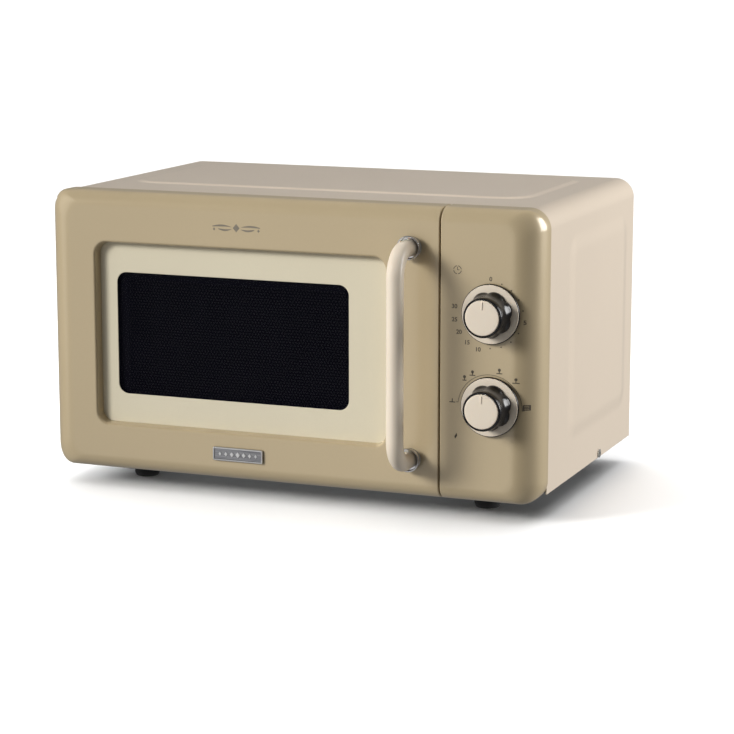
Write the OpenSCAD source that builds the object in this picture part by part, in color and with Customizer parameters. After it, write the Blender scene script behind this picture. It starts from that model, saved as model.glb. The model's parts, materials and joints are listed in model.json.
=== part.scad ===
// Compact microwave oven with a pull handle, two rotary dials and a turntable.
// Millimetres. +Z is up, the front faces -Y, and the origin is on the floor under the middle of the
// overall box. Depths written as [y0, y1] are measured back from the face of the front mouldings.

/* [Overall] */
// Width of the front mouldings
body_w = 452; // [448:1:460]
// Height from the floor to the top of the front mouldings
overall_h = 262; // [262:1:268]
// Depth from the face of the front mouldings to the back edge of the cabinet
body_d = 283; // [283:1:295]
// Height of the feet below the front mouldings
foot_drop = 17; // [15:1:18]
// How far the cavity's back stands out behind the cabinet
rear_bulge = 8; // [8:1:12]

/* [Front mouldings] */
// Width of the control panel
control_w = 86; // [84:1:88]
// Gap between the door and the control panel
seam = 1; // [0.8:0.1:1.4]
// Depth of the door moulding
door_t = 27.4; // [27:0.1:27.6]
// Depth of the control panel moulding
panel_t = 28.4; // [28:0.1:28.6]
// Wall of the plastic mouldings
wall = 2.8; // [2.4:0.1:3]
// Rounding of the front's outline at its corners
corner_r = 18; // [17:0.5:19]
// Rounding of the front's left and right edges, seen from above
side_edge_r = 24; // [23:0.5:24.5]
// Rounding of the front's top and bottom edges, seen from the side
top_edge_r = 13; // [11:0.5:14]

/* [Window] */
// Width of the recess in the door
recess_w = 270; // [260:1:272]
// Height of the recess in the door
recess_h = 160; // [150:1:162]
// Depth of the recess in the door
recess_depth = 9; // [8:0.5:9]
// Corner radius of the recess
recess_r = 11; // [8:0.5:14]
// Width of the dark window
view_w = 217; // [200:1:220]
// Height of the dark window
view_h = 107; // [95:1:110]
// Corner radius of the dark window
view_r = 9; // [5:0.5:12]

/* [Handle] */
// Diameter of the handle bar
bar_d = 14.5; // [13:0.5:16]
// Distance from the door's face to the front of the bar
handle_reach = 44; // [40:1:48]
// Distance between the two fixing screws
handle_pitch = 178; // [160:1:182]
// Bend radius of the bar's centreline
handle_bend = 22; // [20:1:28]

/* [Dials] */
// Height of the timer dial's axis above the floor
timer_z = 177; // [172:0.5:180]
// Height of the power dial's axis above the floor
power_z = 100; // [98:0.5:106]
// Outer radius of the flange of a dial
dial_r = 25; // [23:0.5:26]
// Distance from the panel's face to the front of a dial
dial_reach = 24.5; // [23:0.5:27]
// Number of finger lobes round a dial
lobes = 7; // [6:1:9]

/* [Cavity] */
// Inner width of the oven cavity
cavity_w = 315; // [308:1:315]
// Inner height of the oven cavity
cavity_h = 198; // [190:1:198]
// Diameter of the glass turntable
tray_d = 245; // [230:1:246]

/* [Hidden] */
$fn = 48;
sheet = 1;                       // thickness of the sheet metal
play = 0.06;                     // radial clearance of a running fit
raise = 1.2;                     // height of the panels pressed into the cabinet

left = -body_w / 2;
right = body_w / 2;
face_z0 = foot_drop;             // underside of the front mouldings
face_z1 = overall_h;
front_y = (handle_reach - body_d - rear_bulge) / 2;

door_r = right - control_w - seam / 2;   // right edge of the door
panel_l = door_r + seam;                 // left edge of the control panel

// Cabinet
cab_x = body_w / 2 - raise;      // half width of its sides
cab_z1 = overall_h - raise;
cab_z0 = face_z0 + 5.7;
cab_y0 = 29;
cab_y1 = body_d;
cab_r = corner_r - raise;
flange = 12;                     // width of the rear return flange
floor_z = 23;                    // underside of the base plate
plate_y = 31;                    // front of the front plate

// Oven cavity: inner faces
cav_x = [left + 26, left + 26 + cavity_w];
cav_z = [43, 43 + cavity_h];
cav_y = [plate_y + sheet, body_d + rear_bulge - sheet];
tt_x = (cav_x[0] + cav_x[1]) / 2;        // turntable axis
tt_y = cav_y[0] + tray_d / 2 + 4.5;

// Door
rec_x = [left + 48, left + 48 + recess_w];
rec_z = [face_z0 + 41.3, face_z0 + 41.3 + recess_h];
view_x = [rec_x[0] + 17, rec_x[0] + 17 + view_w];
view_z = [rec_z[0] + 26.5, rec_z[0] + 26.5 + view_h];
pane_t = 3;
pane_y = [recess_depth, recess_depth + pane_t];
screen_t = 0.8;
screen_y = [pane_y[1], pane_y[1] + screen_t];
choke_y = [screen_y[1], 26.2];
choke_x = [cav_x[0] - 9, cav_x[1] + 9];
choke_z = [cav_z[0] - 9, cav_z[1] + 9];
glazed_x = [view_x[0] - 8, view_x[1] + 8];
glazed_z = [view_z[0] - 8, view_z[1] + 8];
cover_y = [choke_y[1], 29.3];

// Door hinge
pivot_x = left + 12;
pivot_y = 14;
pin_r = 2.5;
tab_t = 2;
hinge_open = 105;                // opening angle that the notches allow
swing_r = 15.6;                  // the door's rear left edge stays within this radius of the pivot
upper_tab_z = choke_z[1] + 1.5;
lower_tab_z = choke_z[0] - 1.5 - tab_t;

// Latch
latch_x = door_r - 9.1;
hook_t = 4;
hook_z = [75, 185];
prong_z = 130;
hook_end = 51;
lift = 3.5;
bar_z = [66, 194];
spring_l = 16;

// Handle
handle_x = rec_x[1] + 22.8;
handle_z = [50.4, 50.4 + handle_pitch];
bar_y = -handle_reach + bar_d / 2;
ferrule_h = 8;
screw_r = 2;

// Dials
dial_x = (panel_l + right) / 2 + 1.7;
dial_gap = 1.5;
flange_t = 2;
ring_t = 0.8;
cap_r = 15;
collar_r = 17;
grip_r = 20;
lobe_r = 12.5;
skirt_h = 4.5;
cap_t = 2.8;
shaft_r = 3;
case_y = [10.5, 48];

// Turntable
wheel_r = 7.5;
ring_r = 87;
tray_z = cav_z[0] + 2 * wheel_r + 0.9;
tray_t = 5;
tray_rim = 6;
roller_z = cav_z[0] + wheel_r + 0.3;

// Component bay, right of the cavity
bay_x = [cav_x[1] + sheet, cab_x - sheet];
guide_x = [bay_x[0], bay_x[0] + 24];
guide_y = [92, 188];
guide_z = [122, 208];
antenna = [140, 165];            // depth and height of the magnetron's axis
lamp = [210, 226];               // depth and height of the cavity lamp's axis
tube_x = [guide_x[1], guide_x[1] + 50];
fan_x = 171;
fan_z = 196;
fan_r = 44;
cord_hole = [196, 72, 9];        // x, z and radius of the mains inlet
foot_x = 162;
foot_y = [62, 240];
foot_r = 12;
side_screw = [181.4, face_z0 + 9.5];
cabinet_back_screws = [for (x = [-150, 0, 150]) [x, cab_z1 - 6],
    for (s = [-1, 1], z = [70, 190]) [s * (cab_x - 6), z]];
sill_screws = [for (x = [-120, 40]) [x, floor_z + 8]];

// ---------------------------------------------------------------- shapes

// Box between limits; y is measured back from the front face.
module block(x, y, z)
    translate([x[0], front_y + y[0], z[0]]) cube([x[1] - x[0], y[1] - y[0], z[1] - z[0]]);

// Extrudes an XZ outline between two depths.
module along_y(y)
    translate([0, front_y + y[1], 0]) rotate([90, 0, 0]) linear_extrude(y[1] - y[0]) children();

module round_rect(x, z, r) {
    translate([x[0] + r, z[0]]) square([x[1] - x[0] - 2 * r, z[1] - z[0]]);
    translate([x[0], z[0] + r]) square([x[1] - x[0], z[1] - z[0] - 2 * r]);
    for (cx = [x[0] + r, x[1] - r], cz = [z[0] + r, z[1] - r]) translate([cx, cz]) circle(r);
}

module panel(x, z, r, y) along_y(y) round_rect(x, z, r);

module rod_y(x, z, r, y)
    translate([x, front_y + y[1], z]) rotate([90, 0, 0]) cylinder(r = r, h = y[1] - y[0]);
module rod_x(y, z, r, x)
    translate([x[0], front_y + y, z]) rotate([0, 90, 0]) cylinder(r = r, h = x[1] - x[0]);
module rod_z(x, y, r, z)
    translate([x, front_y + y, z[0]]) cylinder(r = r, h = z[1] - z[0]);

function grow(span, d) = [span[0] - d, span[1] + d];
function about(middle, half) = [middle - half, middle + half];

// Rectangular ring between two outlines, drawn between two depths.
module frame_ring(x, z, r, hole_x, hole_z, hole_r, y) difference() {
    panel(x, z, r, y);
    panel(hole_x, hole_z, hole_r, grow(y, 1));
}

// Grid of slots through a sheet that faces +-Y.
module slots_y(x, z, size, columns, rows, y)
    for (i = [0 : columns - 1], j = [0 : rows - 1])
        block([0, size[0]] + (x[0] + i * (x[1] - x[0] - size[0]) / (columns - 1)) * [1, 1], y,
            [0, size[1]] + (z[0] + j * (z[1] - z[0] - size[1]) / max(rows - 1, 1)) * [1, 1]);

// ---------------------------------------------------------------- front mouldings

// The whole front as one pillow-edged solid, shrunk by inset on its outer faces.
module front_form(inset, depth) {
    w = body_w - 2 * inset;
    h = face_z1 - face_z0 - 2 * inset;
    intersection() {
        panel([left + inset, left + inset + w], [face_z0 + inset, face_z1 - inset], corner_r - inset,
            [inset, depth]);
        translate([0, front_y, face_z0]) linear_extrude(face_z1 - face_z0) {
            translate([left + inset, side_edge_r]) square([w, depth - side_edge_r]);
            translate([left + side_edge_r, inset]) square([body_w - 2 * side_edge_r, depth - inset]);
            for (s = [-1, 1]) translate([s * (right - side_edge_r), side_edge_r]) circle(side_edge_r - inset);
        }
        translate([left, front_y, 0]) rotate([90, 0, 90]) linear_extrude(body_w) {
            translate([top_edge_r, face_z0 + inset]) square([depth - top_edge_r, h]);
            translate([inset, face_z0 + top_edge_r])
                square([depth - inset, face_z1 - face_z0 - 2 * top_edge_r]);
            for (z = [face_z0 + top_edge_r, face_z1 - top_edge_r])
                translate([top_edge_r, z]) circle(top_edge_r - inset);
        }
    }
}

// A hollow moulding of that form between two x limits, open at the back.
module front_shell(x, depth, closed_left, closed_right) difference() {
    intersection() {
        front_form(0, depth);
        block(x, [0, depth], [face_z0, face_z1]);
    }
    intersection() {
        front_form(wall, depth + 1);
        block([x[0] + (closed_left ? wall : 0), x[1] - (closed_right ? wall : 0)], [0, depth + 1],
            [face_z0, face_z1]);
    }
}

// Space that a fixed hinge tab sweeps through in the turning door.
module tab_sweep(z) translate([pivot_x, front_y + pivot_y, z - 0.8]) {
    rotate([0, 0, 90]) rotate_extrude(angle = hinge_open) translate([2, 0]) square([18, tab_t + 1.6]);
    for (a = [0, hinge_open]) rotate([0, 0, a]) translate([-3.8, 0, 0]) cube([7.6, 20, tab_t + 1.6]);
}

module door_frame() color([0.72, 0.66, 0.53]) {
    difference() {
        union() {
            front_shell([left, door_r], door_t, false, true);
            panel(grow(rec_x, wall), grow(rec_z, wall), recess_r + wall, [1, pane_y[0]]);
        }
        panel(rec_x, rec_z, recess_r, [-1, pane_y[0] + 1]);
        // Rear left edge, rounded off so that it clears the cabinet as the door swings.
        difference() {
            block([left - 1, pivot_x], [pivot_y, door_t + 1], [face_z0 - 1, face_z1 + 1]);
            rod_z(pivot_x, pivot_y, swing_r, [face_z0 - 2, face_z1 + 2]);
        }
        tab_sweep(upper_tab_z);
        tab_sweep(lower_tab_z);
        for (z = handle_z) rod_y(handle_x, z, screw_r + play, [-1, wall + 1]);
    }
    // Stop for the latch spring.
    block([choke_x[1] + 0.6, door_r - wall], [14, 25], [bar_z[1] + spring_l, bar_z[1] + spring_l + 3]);
}

module window_pane() color([0.05, 0.05, 0.07, 0.6])
    panel(grow(rec_x, wall), grow(rec_z, wall), recess_r, pane_y);

module window_border() color([0.90, 0.87, 0.78])
    frame_ring(grow(rec_x, -0.2), grow(rec_z, -0.2), recess_r, view_x, view_z, view_r,
        [pane_y[0] - 0.4, pane_y[0]]);

// The real sheet's perforations are finer than this model draws; a few rows at the edges stand for them.
module door_screen() color([0.15, 0.15, 0.16]) difference() {
    panel(grow(glazed_x, 4), grow(glazed_z, 4), 3, screen_y);
    for (x = [view_x[0] + 8 : 12 : view_x[1] - 4], z = [view_z[0] + 8, view_z[1] - 8])
        rod_y(x, z, 1.2, grow(screen_y, 1));
}

module choke_frame() color([0.75, 0.75, 0.76]) {
    inner_x = grow(glazed_x, sheet);
    inner_z = grow(glazed_z, sheet);
    difference() {
        union() {
            difference() {
                panel(choke_x, choke_z, 4, choke_y);
                panel(grow(choke_x, -sheet), grow(choke_z, -sheet), 3, [choke_y[0] - 1, choke_y[1] - sheet]);
            }
            panel(inner_x, inner_z, 3, choke_y);
            // Ears that turn on the hinge pins.
            for (z = [choke_z[1] - 2, choke_z[0]]) {
                rod_z(pivot_x, pivot_y, 4.5, [z, z + 2]);
                block([pivot_x, choke_x[0] + sheet], [choke_y[0], pivot_y + 4.5], [z, z + 2]);
            }
        }
        panel(glazed_x, glazed_z, 2, grow(choke_y, 1));
        rod_z(pivot_x, pivot_y, pin_r + play, grow(choke_z, 1));
    }
}

module choke_cover() color([0.20, 0.20, 0.21]) {
    difference() {
        panel([choke_x[0] + 0.5, door_r - wall - 0.4], [face_z0 + wall + 0.6, face_z1 - wall - 0.6], 4,
            cover_y);
        panel(grow(glazed_x, -5), grow(glazed_z, -5), 5, grow(cover_y, 1));
        for (z = hook_z) block(grow([latch_x, latch_x], 3.4), grow(cover_y, 1), [z - 8, z + 3 + lift + 1]);
        block(grow([latch_x, latch_x], 3.4), grow(cover_y, 1), [prong_z - 4, prong_z + 3 + lift + 1]);
    }
    // Clear film behind the perforated sheet, held by the cover.
    panel(grow(glazed_x, -0.2), grow(glazed_z, -0.2), 1.8, [cover_y[0] - 0.8, cover_y[0]]);
}

module hinge(tab_z, plate_z, pin_z) color([0.80, 0.80, 0.82]) {
    rod_z(pivot_x, pivot_y, 4, [tab_z, tab_z + tab_t]);
    block([pivot_x - 3, pivot_x + 3], [pivot_y, plate_y + 2], [tab_z, tab_z + tab_t]);
    block([pivot_x - 4, cav_x[0] - 2.5], [plate_y + sheet, plate_y + 3], plate_z);
    rod_z(pivot_x, pivot_y, pin_r, pin_z);
}
module door_hinges() {
    hinge(upper_tab_z, [upper_tab_z - 22, upper_tab_z + tab_t], [choke_z[1] - 4, upper_tab_z + 1]);
    hinge(lower_tab_z, [lower_tab_z, lower_tab_z + 22], [lower_tab_z + 1, choke_z[0] + 4]);
}

// Sprung bar in the door with two hooks and a prong for the middle switch.
module door_latch() color([0.92, 0.92, 0.90]) {
    block(grow([latch_x, latch_x], 3), [17, 24], bar_z);
    for (z = hook_z) {
        block(grow([latch_x, latch_x], hook_t / 2), [23, hook_end], [z - 3, z + 3]);
        block(grow([latch_x, latch_x], hook_t / 2), [hook_end - 8, hook_end], [z - 7, z]);
    }
    block(grow([latch_x, latch_x], hook_t / 2), [23, hook_end], [prong_z - 3, prong_z + 3]);
}

// One closed tube that follows a helix.
coil_r = 2.9;
wire_r = 0.45;
coil_turns = 6;
coil_steps = 14;
function coil_point(i) = let(t = i / (coil_turns * coil_steps), a = 360 * coil_turns * t)
    [coil_r * cos(a), coil_r * sin(a), wire_r + t * (spring_l - 2 * wire_r)];
module latch_spring() color([0.70, 0.70, 0.72]) {
    n = coil_turns * coil_steps;
    sides = 6;
    rings = [for (i = [0 : n]) let(p = coil_point(i), a = 360 * i / coil_steps)
        for (k = [0 : sides - 1]) let(b = 360 * k / sides)
            p + wire_r * [cos(b) * cos(a), cos(b) * sin(a), sin(b)]];
    faces = [for (i = [0 : n - 1], k = [0 : sides - 1])
        [i * sides + k, (i + 1) * sides + k, (i + 1) * sides + (k + 1) % sides,
            i * sides + (k + 1) % sides]];
    translate([latch_x, front_y + 20.5, bar_z[1]]) polyhedron(rings, concat(faces,
        [[for (k = [0 : sides - 1]) k]], [[for (k = [sides - 1 : -1 : 0]) n * sides + k]]), convexity = 10);
}

module door_handle() color([0.90, 0.86, 0.78]) difference() {
    union() {
        rod_z(handle_x, bar_y, bar_d / 2, [handle_z[0] + handle_bend, handle_z[1] - handle_bend]);
        for (s = [-1, 1]) {
            z = s > 0 ? handle_z[1] : handle_z[0];
            rod_y(handle_x, z, bar_d / 2, [bar_y + handle_bend, -2]);
            translate([handle_x, front_y + bar_y + handle_bend, z - s * handle_bend])
                rotate([s * 90, 0, -90]) rotate_extrude(angle = 90)
                    translate([handle_bend, 0]) circle(bar_d / 2);
        }
    }
    for (z = handle_z) rod_y(handle_x, z, screw_r + play, [-14, 0]);
}

module handle_ferrules() color([0.82, 0.82, 0.84]) for (z = handle_z) difference() {
    union() {
        rod_y(handle_x, z, bar_d / 2 + 3.2, [-1.2, 0]);
        rod_y(handle_x, z, bar_d / 2 + 3, [-ferrule_h, -1.2]);
    }
    rod_y(handle_x, z, bar_d / 2 + 0.1, [-ferrule_h - 1, -2]);
    rod_y(handle_x, z, screw_r + play, [-3, 1]);
}

module handle_screws() color([0.75, 0.75, 0.77]) for (z = handle_z) difference() {
    union() {
        rod_y(handle_x, z, screw_r, [-12, wall + 1]);
        rod_y(handle_x, z, 4, [wall, wall + 2.6]);
    }
    for (s = [[0.5, 2.6], [2.6, 0.5]])
        block([handle_x - s[0], handle_x + s[0]], [wall + 1.4, wall + 3], [z - s[1], z + s[1]]);
}

// Blank plate with a raised border.
module badge() color([0.80, 0.80, 0.82]) {
    middle = (rec_x[0] + rec_x[1]) / 2;
    difference() {
        panel([middle - 23.5, middle + 23.5], [34.5, 46.5], 1.5, [-2, 0]);
        panel([middle - 22, middle + 22], [36, 45], 1, [-3, -1.2]);
    }
}

module control_panel() color([0.72, 0.66, 0.53]) difference() {
    union() {
        front_shell([panel_l, right], panel_t, true, false);
        for (x = [dial_x - 25, dial_x + 25], z = [84, 196]) rod_y(x, z, 3.5, [wall - 0.5, 9]);
    }
    for (z = [timer_z, power_z]) rod_y(dial_x, z, 6, [-1, wall + 1]);
}

// ---------------------------------------------------------------- dials

// D-shaped shaft: the flat faces up.
module dial_shaft(z) color([0.75, 0.75, 0.77]) difference() {
    rod_y(dial_x, z, shaft_r, [-19, 20]);
    block(about(dial_x, 4), [-20, -6], [z + shaft_r - 0.8, z + shaft_r + 1]);
}

// Outline of a grip: round lobes that meet in sharp notches.
module lobed() {
    circle(grip_r - 2);
    for (i = [0 : lobes - 1])
        rotate(-360 * (i + 0.42) / lobes) translate([0, grip_r - lobe_r]) circle(lobe_r);
}

// Black grip: a flange, a lobed skirt and a slightly tapered collar.
module dial_grip(z) color([0.07, 0.07, 0.08]) difference() {
    translate([dial_x, front_y - dial_gap, z]) rotate([90, 0, 0]) {
        cylinder(r = dial_r, h = flange_t);
        translate([0, 0, flange_t]) linear_extrude(skirt_h) lobed();
        translate([0, 0, flange_t + skirt_h])
            cylinder(r1 = grip_r - 2, r2 = collar_r, h = dial_reach - 0.8 - dial_gap - flange_t - skirt_h);
    }
    rod_y(dial_x, z, cap_r + 0.3, [-dial_reach - 1, -dial_reach + cap_t]);
    difference() {
        rod_y(dial_x, z, shaft_r + play, [-19.2, 0]);
        block(about(dial_x, 4), [-20, -6], [z + shaft_r - 0.8 + play, z + shaft_r + 1]);
    }
}

module dial_ring(z) color([0.80, 0.77, 0.70]) difference() {
    rod_y(dial_x, z, dial_r - 0.4, [-dial_gap - flange_t - ring_t, -dial_gap - flange_t]);
    rod_y(dial_x, z, grip_r + 0.2, [-8, 0]);
}

module dial_cap(z) color([0.88, 0.85, 0.78]) {
    rod_y(dial_x, z, cap_r, [-dial_reach, -dial_reach + cap_t]);
    block(about(dial_x, 0.6), [-dial_reach - 0.4, -dial_reach], [z + 7.5, z + 13.5]);
}

module timer_unit() color([0.13, 0.13, 0.14]) difference() {
    union() {
        panel([dial_x - 28, dial_x + 27], [80, 200], 4, case_y);
        panel([dial_x - 31, dial_x + 30], [76, 204], 3, [9, case_y[0] + 1]);
        rod_y(dial_x, 140, 20, [case_y[1] - 1, case_y[1] + 14]);
        for (z = [90 : 12 : 126])
            block([dial_x + 10, dial_x + 16], [case_y[1] - 1, case_y[1] + 8], [z, z + 0.8]);
    }
    for (z = [timer_z, power_z]) rod_y(dial_x, z, shaft_r + play, [8, 20.2]);
}

// ---------------------------------------------------------------- cabinet and chassis

// Arch-shaped outline of the cabinet, shrunk by inset, down to z0.
module arch(inset, z0) {
    translate([-cab_x + inset, z0]) square([2 * (cab_x - inset), cab_z1 - cab_r - z0]);
    translate([-cab_x + cab_r, z0]) square([2 * (cab_x - cab_r), cab_z1 - inset - z0]);
    for (s = [-1, 1]) translate([s * (cab_x - cab_r), cab_z1 - cab_r]) circle(cab_r - inset);
}

// Panels pressed outwards in the top and both sides; drawn shrunk for the hollow behind them.
module pressed_panels(shrink, low, high) {
    translate([0, front_y, cab_z1 + low]) linear_extrude(high - low)
        round_rect([-192 + shrink, 187 - shrink], [86 + shrink, 262 - shrink], 30 - shrink);
    for (s = [-1, 1]) translate([s > 0 ? cab_x + low : -cab_x - high, 0, 0]) rotate([90, 0, 90])
        linear_extrude(high - low)
            round_rect([front_y + 84 + shrink, front_y + 262 - shrink], [54 + shrink, 233 - shrink],
                20 - shrink);
}

module outer_cabinet() color([0.86, 0.81, 0.73]) difference() {
    union() {
        along_y([cab_y0, cab_y1]) arch(0, cab_z0);
        pressed_panels(0, -0.5, raise);
    }
    along_y([cab_y0 - 1, cab_y1 - sheet]) arch(sheet, cab_z0 - 1);
    along_y([cab_y1 - 2, cab_y1 + 1]) arch(flange, cab_z0 - 1);
    pressed_panels(2, -sheet - 0.1, raise - sheet);
    rod_x(side_screw[0], side_screw[1], 2.1, [-right - 1, right + 1]);
    for (p = cabinet_back_screws) rod_y(p[0], p[1], 2.1, [cab_y1 - 2, cab_y1 + 1]);
}

// Back of the chassis round the cavity's back wall: a bay cover with air slots, and three strips.
module rear_panel() color([0.72, 0.72, 0.72]) {
    y = [cab_y1 - 2 * sheet, cab_y1 - sheet];
    gap = 0.3;
    low = floor_z + sheet + 0.2;
    hole_x = grow(cav_x, sheet + gap);
    hole_z = grow(cav_z, sheet + gap);
    difference() {
        intersection() {
            along_y(y) arch(sheet + 0.2, low);
            union() {
                block([left, hole_x[0]], y, [low, face_z1]);
                block([hole_x[1], right], y, [low, face_z1]);
                block(grow(hole_x, -gap), y, [hole_z[1], face_z1]);
                block(grow(hole_x, -gap), y, [low, hole_z[0]]);
            }
        }
        slots_y([134, 208], [152, 240], [4, 18], 9, 4, grow(y, 1));
        slots_y([134, 178], [44, 84], [4, 16], 6, 2, grow(y, 1));
        rod_y(cord_hole[0], cord_hole[1], cord_hole[2], grow(y, 1));
        for (p = concat(cabinet_back_screws, sill_screws)) rod_y(p[0], p[1], 1.8, grow(y, 1));
    }
}

// Pan-head screws with a cross recess: nine in the back and one in each side.
module pan_screw(shank) difference() {
    union() {
        cylinder(r = 1.7, h = shank);
        translate([0, 0, -raise]) cylinder(r = 3.8, h = raise);
    }
    for (a = [0, 90]) rotate([0, 0, a]) translate([-2.2, -0.5, -raise - 1]) cube([4.4, 1, 2]);
}
module cabinet_screws() color([0.80, 0.80, 0.82]) {
    for (p = cabinet_back_screws) translate([p[0], front_y + cab_y1, p[1]]) rotate([90, 0, 0]) pan_screw(5);
    for (p = sill_screws) translate([p[0], front_y + cab_y1 - sheet, p[1]]) rotate([90, 0, 0]) pan_screw(5);
    for (s = [-1, 1])
        translate([s * cab_x, front_y + side_screw[0], side_screw[1]]) rotate([0, -s * 90, 0]) pan_screw(5);
}

module base_plate() color([0.70, 0.70, 0.71]) {
    side = cab_x - sheet - 0.2;
    y = [plate_y + sheet, cab_y1 - 2 * sheet];
    difference() {
        union() {
            block([-side, side], y, [floor_z, floor_z + sheet]);
            for (x = [-side, side - sheet]) block([x, x + sheet], y, [floor_z, floor_z + 14]);
            block([-150, 70], [y[1] - sheet, y[1]], [floor_z, floor_z + 14]);
        }
        for (x = [-foot_x, foot_x], fy = foot_y) rod_z(x, fy, 4.1, [floor_z - 1, floor_z + 2]);
        for (x = [124 : 9 : 205], sy = [44, 68])
            block([x, x + 4], [sy, sy + 18], [floor_z - 1, floor_z + 2]);
        for (x = [-120 : 12 : 20]) block([x, x + 4], [262, 276], [floor_z - 1, floor_z + 2]);
        rod_x(side_screw[0], side_screw[1], 1.8, [-right, right]);
        for (p = sill_screws) rod_y(p[0], p[1], 1.8, grow(y, 1));
    }
}

module rubber_feet() color([0.08, 0.08, 0.08]) for (x = [-foot_x, foot_x], y = foot_y)
    translate([x, front_y + y, 0]) {
        cylinder(r1 = foot_r - 2, r2 = foot_r - 0.6, h = 3);
        translate([0, 0, 3]) cylinder(r1 = foot_r - 0.6, r2 = foot_r + 1, h = floor_z - 3);
        translate([0, 0, floor_z]) cylinder(r = 4, h = sheet);
        translate([0, 0, floor_z + sheet]) cylinder(r1 = 5.2, r2 = 3.2, h = 3);
    }

module front_plate() color([0.84, 0.80, 0.72]) {
    edge = door_r - 0.2;
    difference() {
        union() {
            panel([left + 3.4, edge], [floor_z + 2, face_z1 - 4.5], 12, [plate_y, plate_y + sheet]);
            block([edge - 30, edge], [plate_y, plate_y + sheet], [floor_z + 2, face_z1 - 4.5]);
            block([edge - sheet, edge], [plate_y, plate_y + 13], [floor_z + 2, face_z1 - 4.5]);
        }
        panel(cav_x, cav_z, 4, grow([plate_y, plate_y], 2));
        for (z = hook_z)
            block([latch_x - 3, latch_x + 5], [plate_y - 1, plate_y + 2], [z - 8.5, z + 4 + lift]);
        block([latch_x - 3, latch_x + 5], [plate_y - 1, plate_y + 2], [prong_z - 4.5, prong_z + 4 + lift]);
        for (z = [upper_tab_z, lower_tab_z])
            block([pivot_x - 3.3, pivot_x + 3.3], grow([plate_y, plate_y], 2), [z - 0.3, z + tab_t + 0.3]);
    }
}

// Five spot-welded sheets: floor, roof, two sides and the back.
module cavity_liner() color([0.80, 0.79, 0.76]) {
    weld = 0.05;
    y = [cav_y[0], cav_y[1] - weld];
    side_z = grow(cav_z, -weld);
    difference() {
        block(grow(cav_x, sheet), y, [cav_z[0] - sheet, cav_z[0]]);
        rod_z(tt_x, tt_y, 6.5, [cav_z[0] - 2, cav_z[0] + 1]);
    }
    difference() {
        block(grow(cav_x, sheet), y, [cav_z[1], cav_z[1] + sheet]);
        for (x = [-150 : 8 : -102], v = [60 : 8 : 92]) rod_z(x, v, 2.2, [cav_z[1] - 1, cav_z[1] + 2]);
    }
    block([cav_x[0] - sheet, cav_x[0]], y, side_z);
    difference() {
        block([cav_x[1], cav_x[1] + sheet], y, side_z);
        block([cav_x[1] - 1, cav_x[1] + 2], grow(guide_y, -6), grow(guide_z, -6));
        for (v = [198 : 6 : 222], z = [214 : 6 : 238]) rod_x(v, z, 1.8, [cav_x[1] - 1, cav_x[1] + 2]);
    }
    block(grow(cav_x, sheet), [cav_y[1], cav_y[1] + sheet], grow(cav_z, sheet));
}

module waveguide_cover() color([0.74, 0.70, 0.60])
    block([cav_x[1] - 0.8, cav_x[1]], grow(guide_y, -1), grow(guide_z, -1));

// ---------------------------------------------------------------- turntable

module turntable_motor() color([0.78, 0.78, 0.80]) difference() {
    union() {
        rod_z(tt_x, tt_y, 24.5, [cav_z[0] - 16, cav_z[0] - 2]);
        rod_z(tt_x, tt_y, 8, [cav_z[0] - 2.5, cav_z[0] - sheet]);
        for (s = [-1, 1]) difference() {
            block(about(tt_x, 5), about(tt_y + s * 27, 7), [cav_z[0] - 2.5, cav_z[0] - sheet]);
            rod_z(tt_x, tt_y + s * 30, 2, [cav_z[0] - 4, cav_z[0]]);
        }
        block([tt_x + 20, tt_x + 32], [tt_y - 8, tt_y + 8], [cav_z[0] - 14, cav_z[0] - 5]);
    }
    rod_z(tt_x, tt_y, 3 + play, [cav_z[0] - 12, cav_z[0]]);
}

// Three-armed hub on the motor's shaft.
module turntable_coupler() color([0.90, 0.90, 0.88]) {
    top = tray_z - 0.9;
    rod_z(tt_x, tt_y, 3, [cav_z[0] - 11.8, cav_z[0] + 2]);
    rod_z(tt_x, tt_y, 9, [cav_z[0] + 1, top]);
    for (a = [0, 120, 240]) translate([tt_x, front_y + tt_y, 0]) rotate([0, 0, a])
        translate([0, -4, cav_z[0] + 7]) cube([26, 8, top - cav_z[0] - 7]);
}

module roller_ring() color([0.88, 0.88, 0.86]) {
    difference() {
        rod_z(tt_x, tt_y, ring_r, [roller_z - 3, roller_z + 3]);
        rod_z(tt_x, tt_y, ring_r - 7, [roller_z - 4, roller_z + 4]);
    }
    for (a = [30, 150, 270]) translate([tt_x, front_y + tt_y, roller_z]) rotate([0, 90, a]) {
        translate([0, 0, ring_r - 1]) cylinder(r = 2, h = 11.6);
        translate([0, 0, ring_r + 9]) cylinder(r = 3.2, h = 1.4);
    }
}

module roller_wheel(a) color([0.92, 0.92, 0.90]) translate([tt_x, front_y + tt_y, roller_z])
    rotate([0, 90, a]) translate([0, 0, ring_r + 1]) difference() {
        cylinder(r = wheel_r, h = 7);
        translate([0, 0, -1]) cylinder(r = 2 + play, h = 9);
    }

module glass_tray() color([0.80, 0.88, 0.88, 0.4]) {
    r = tray_d / 2;
    translate([tt_x, front_y + tt_y, tray_z]) {
        rotate_extrude() polygon([[0, 0], [r - 14, 0], [r, tray_rim + tray_t - 1], [r, tray_rim + tray_t],
            [r - 4, tray_rim + tray_t], [r - 15, tray_t], [0, tray_t]]);
        for (a = [60, 180, 300]) rotate([0, 0, a]) translate([17, 0, -5]) cylinder(r = 4, h = 5.5);
    }
}

// ---------------------------------------------------------------- component bay

module cavity_lamp() color([0.95, 0.93, 0.85]) {
    rod_x(lamp[0], lamp[1], 8, [bay_x[0] + 6, bay_x[0] + 22]);
    rod_x(lamp[0], lamp[1], 6, [bay_x[0] + 4, bay_x[0] + 32]);
}

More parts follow.
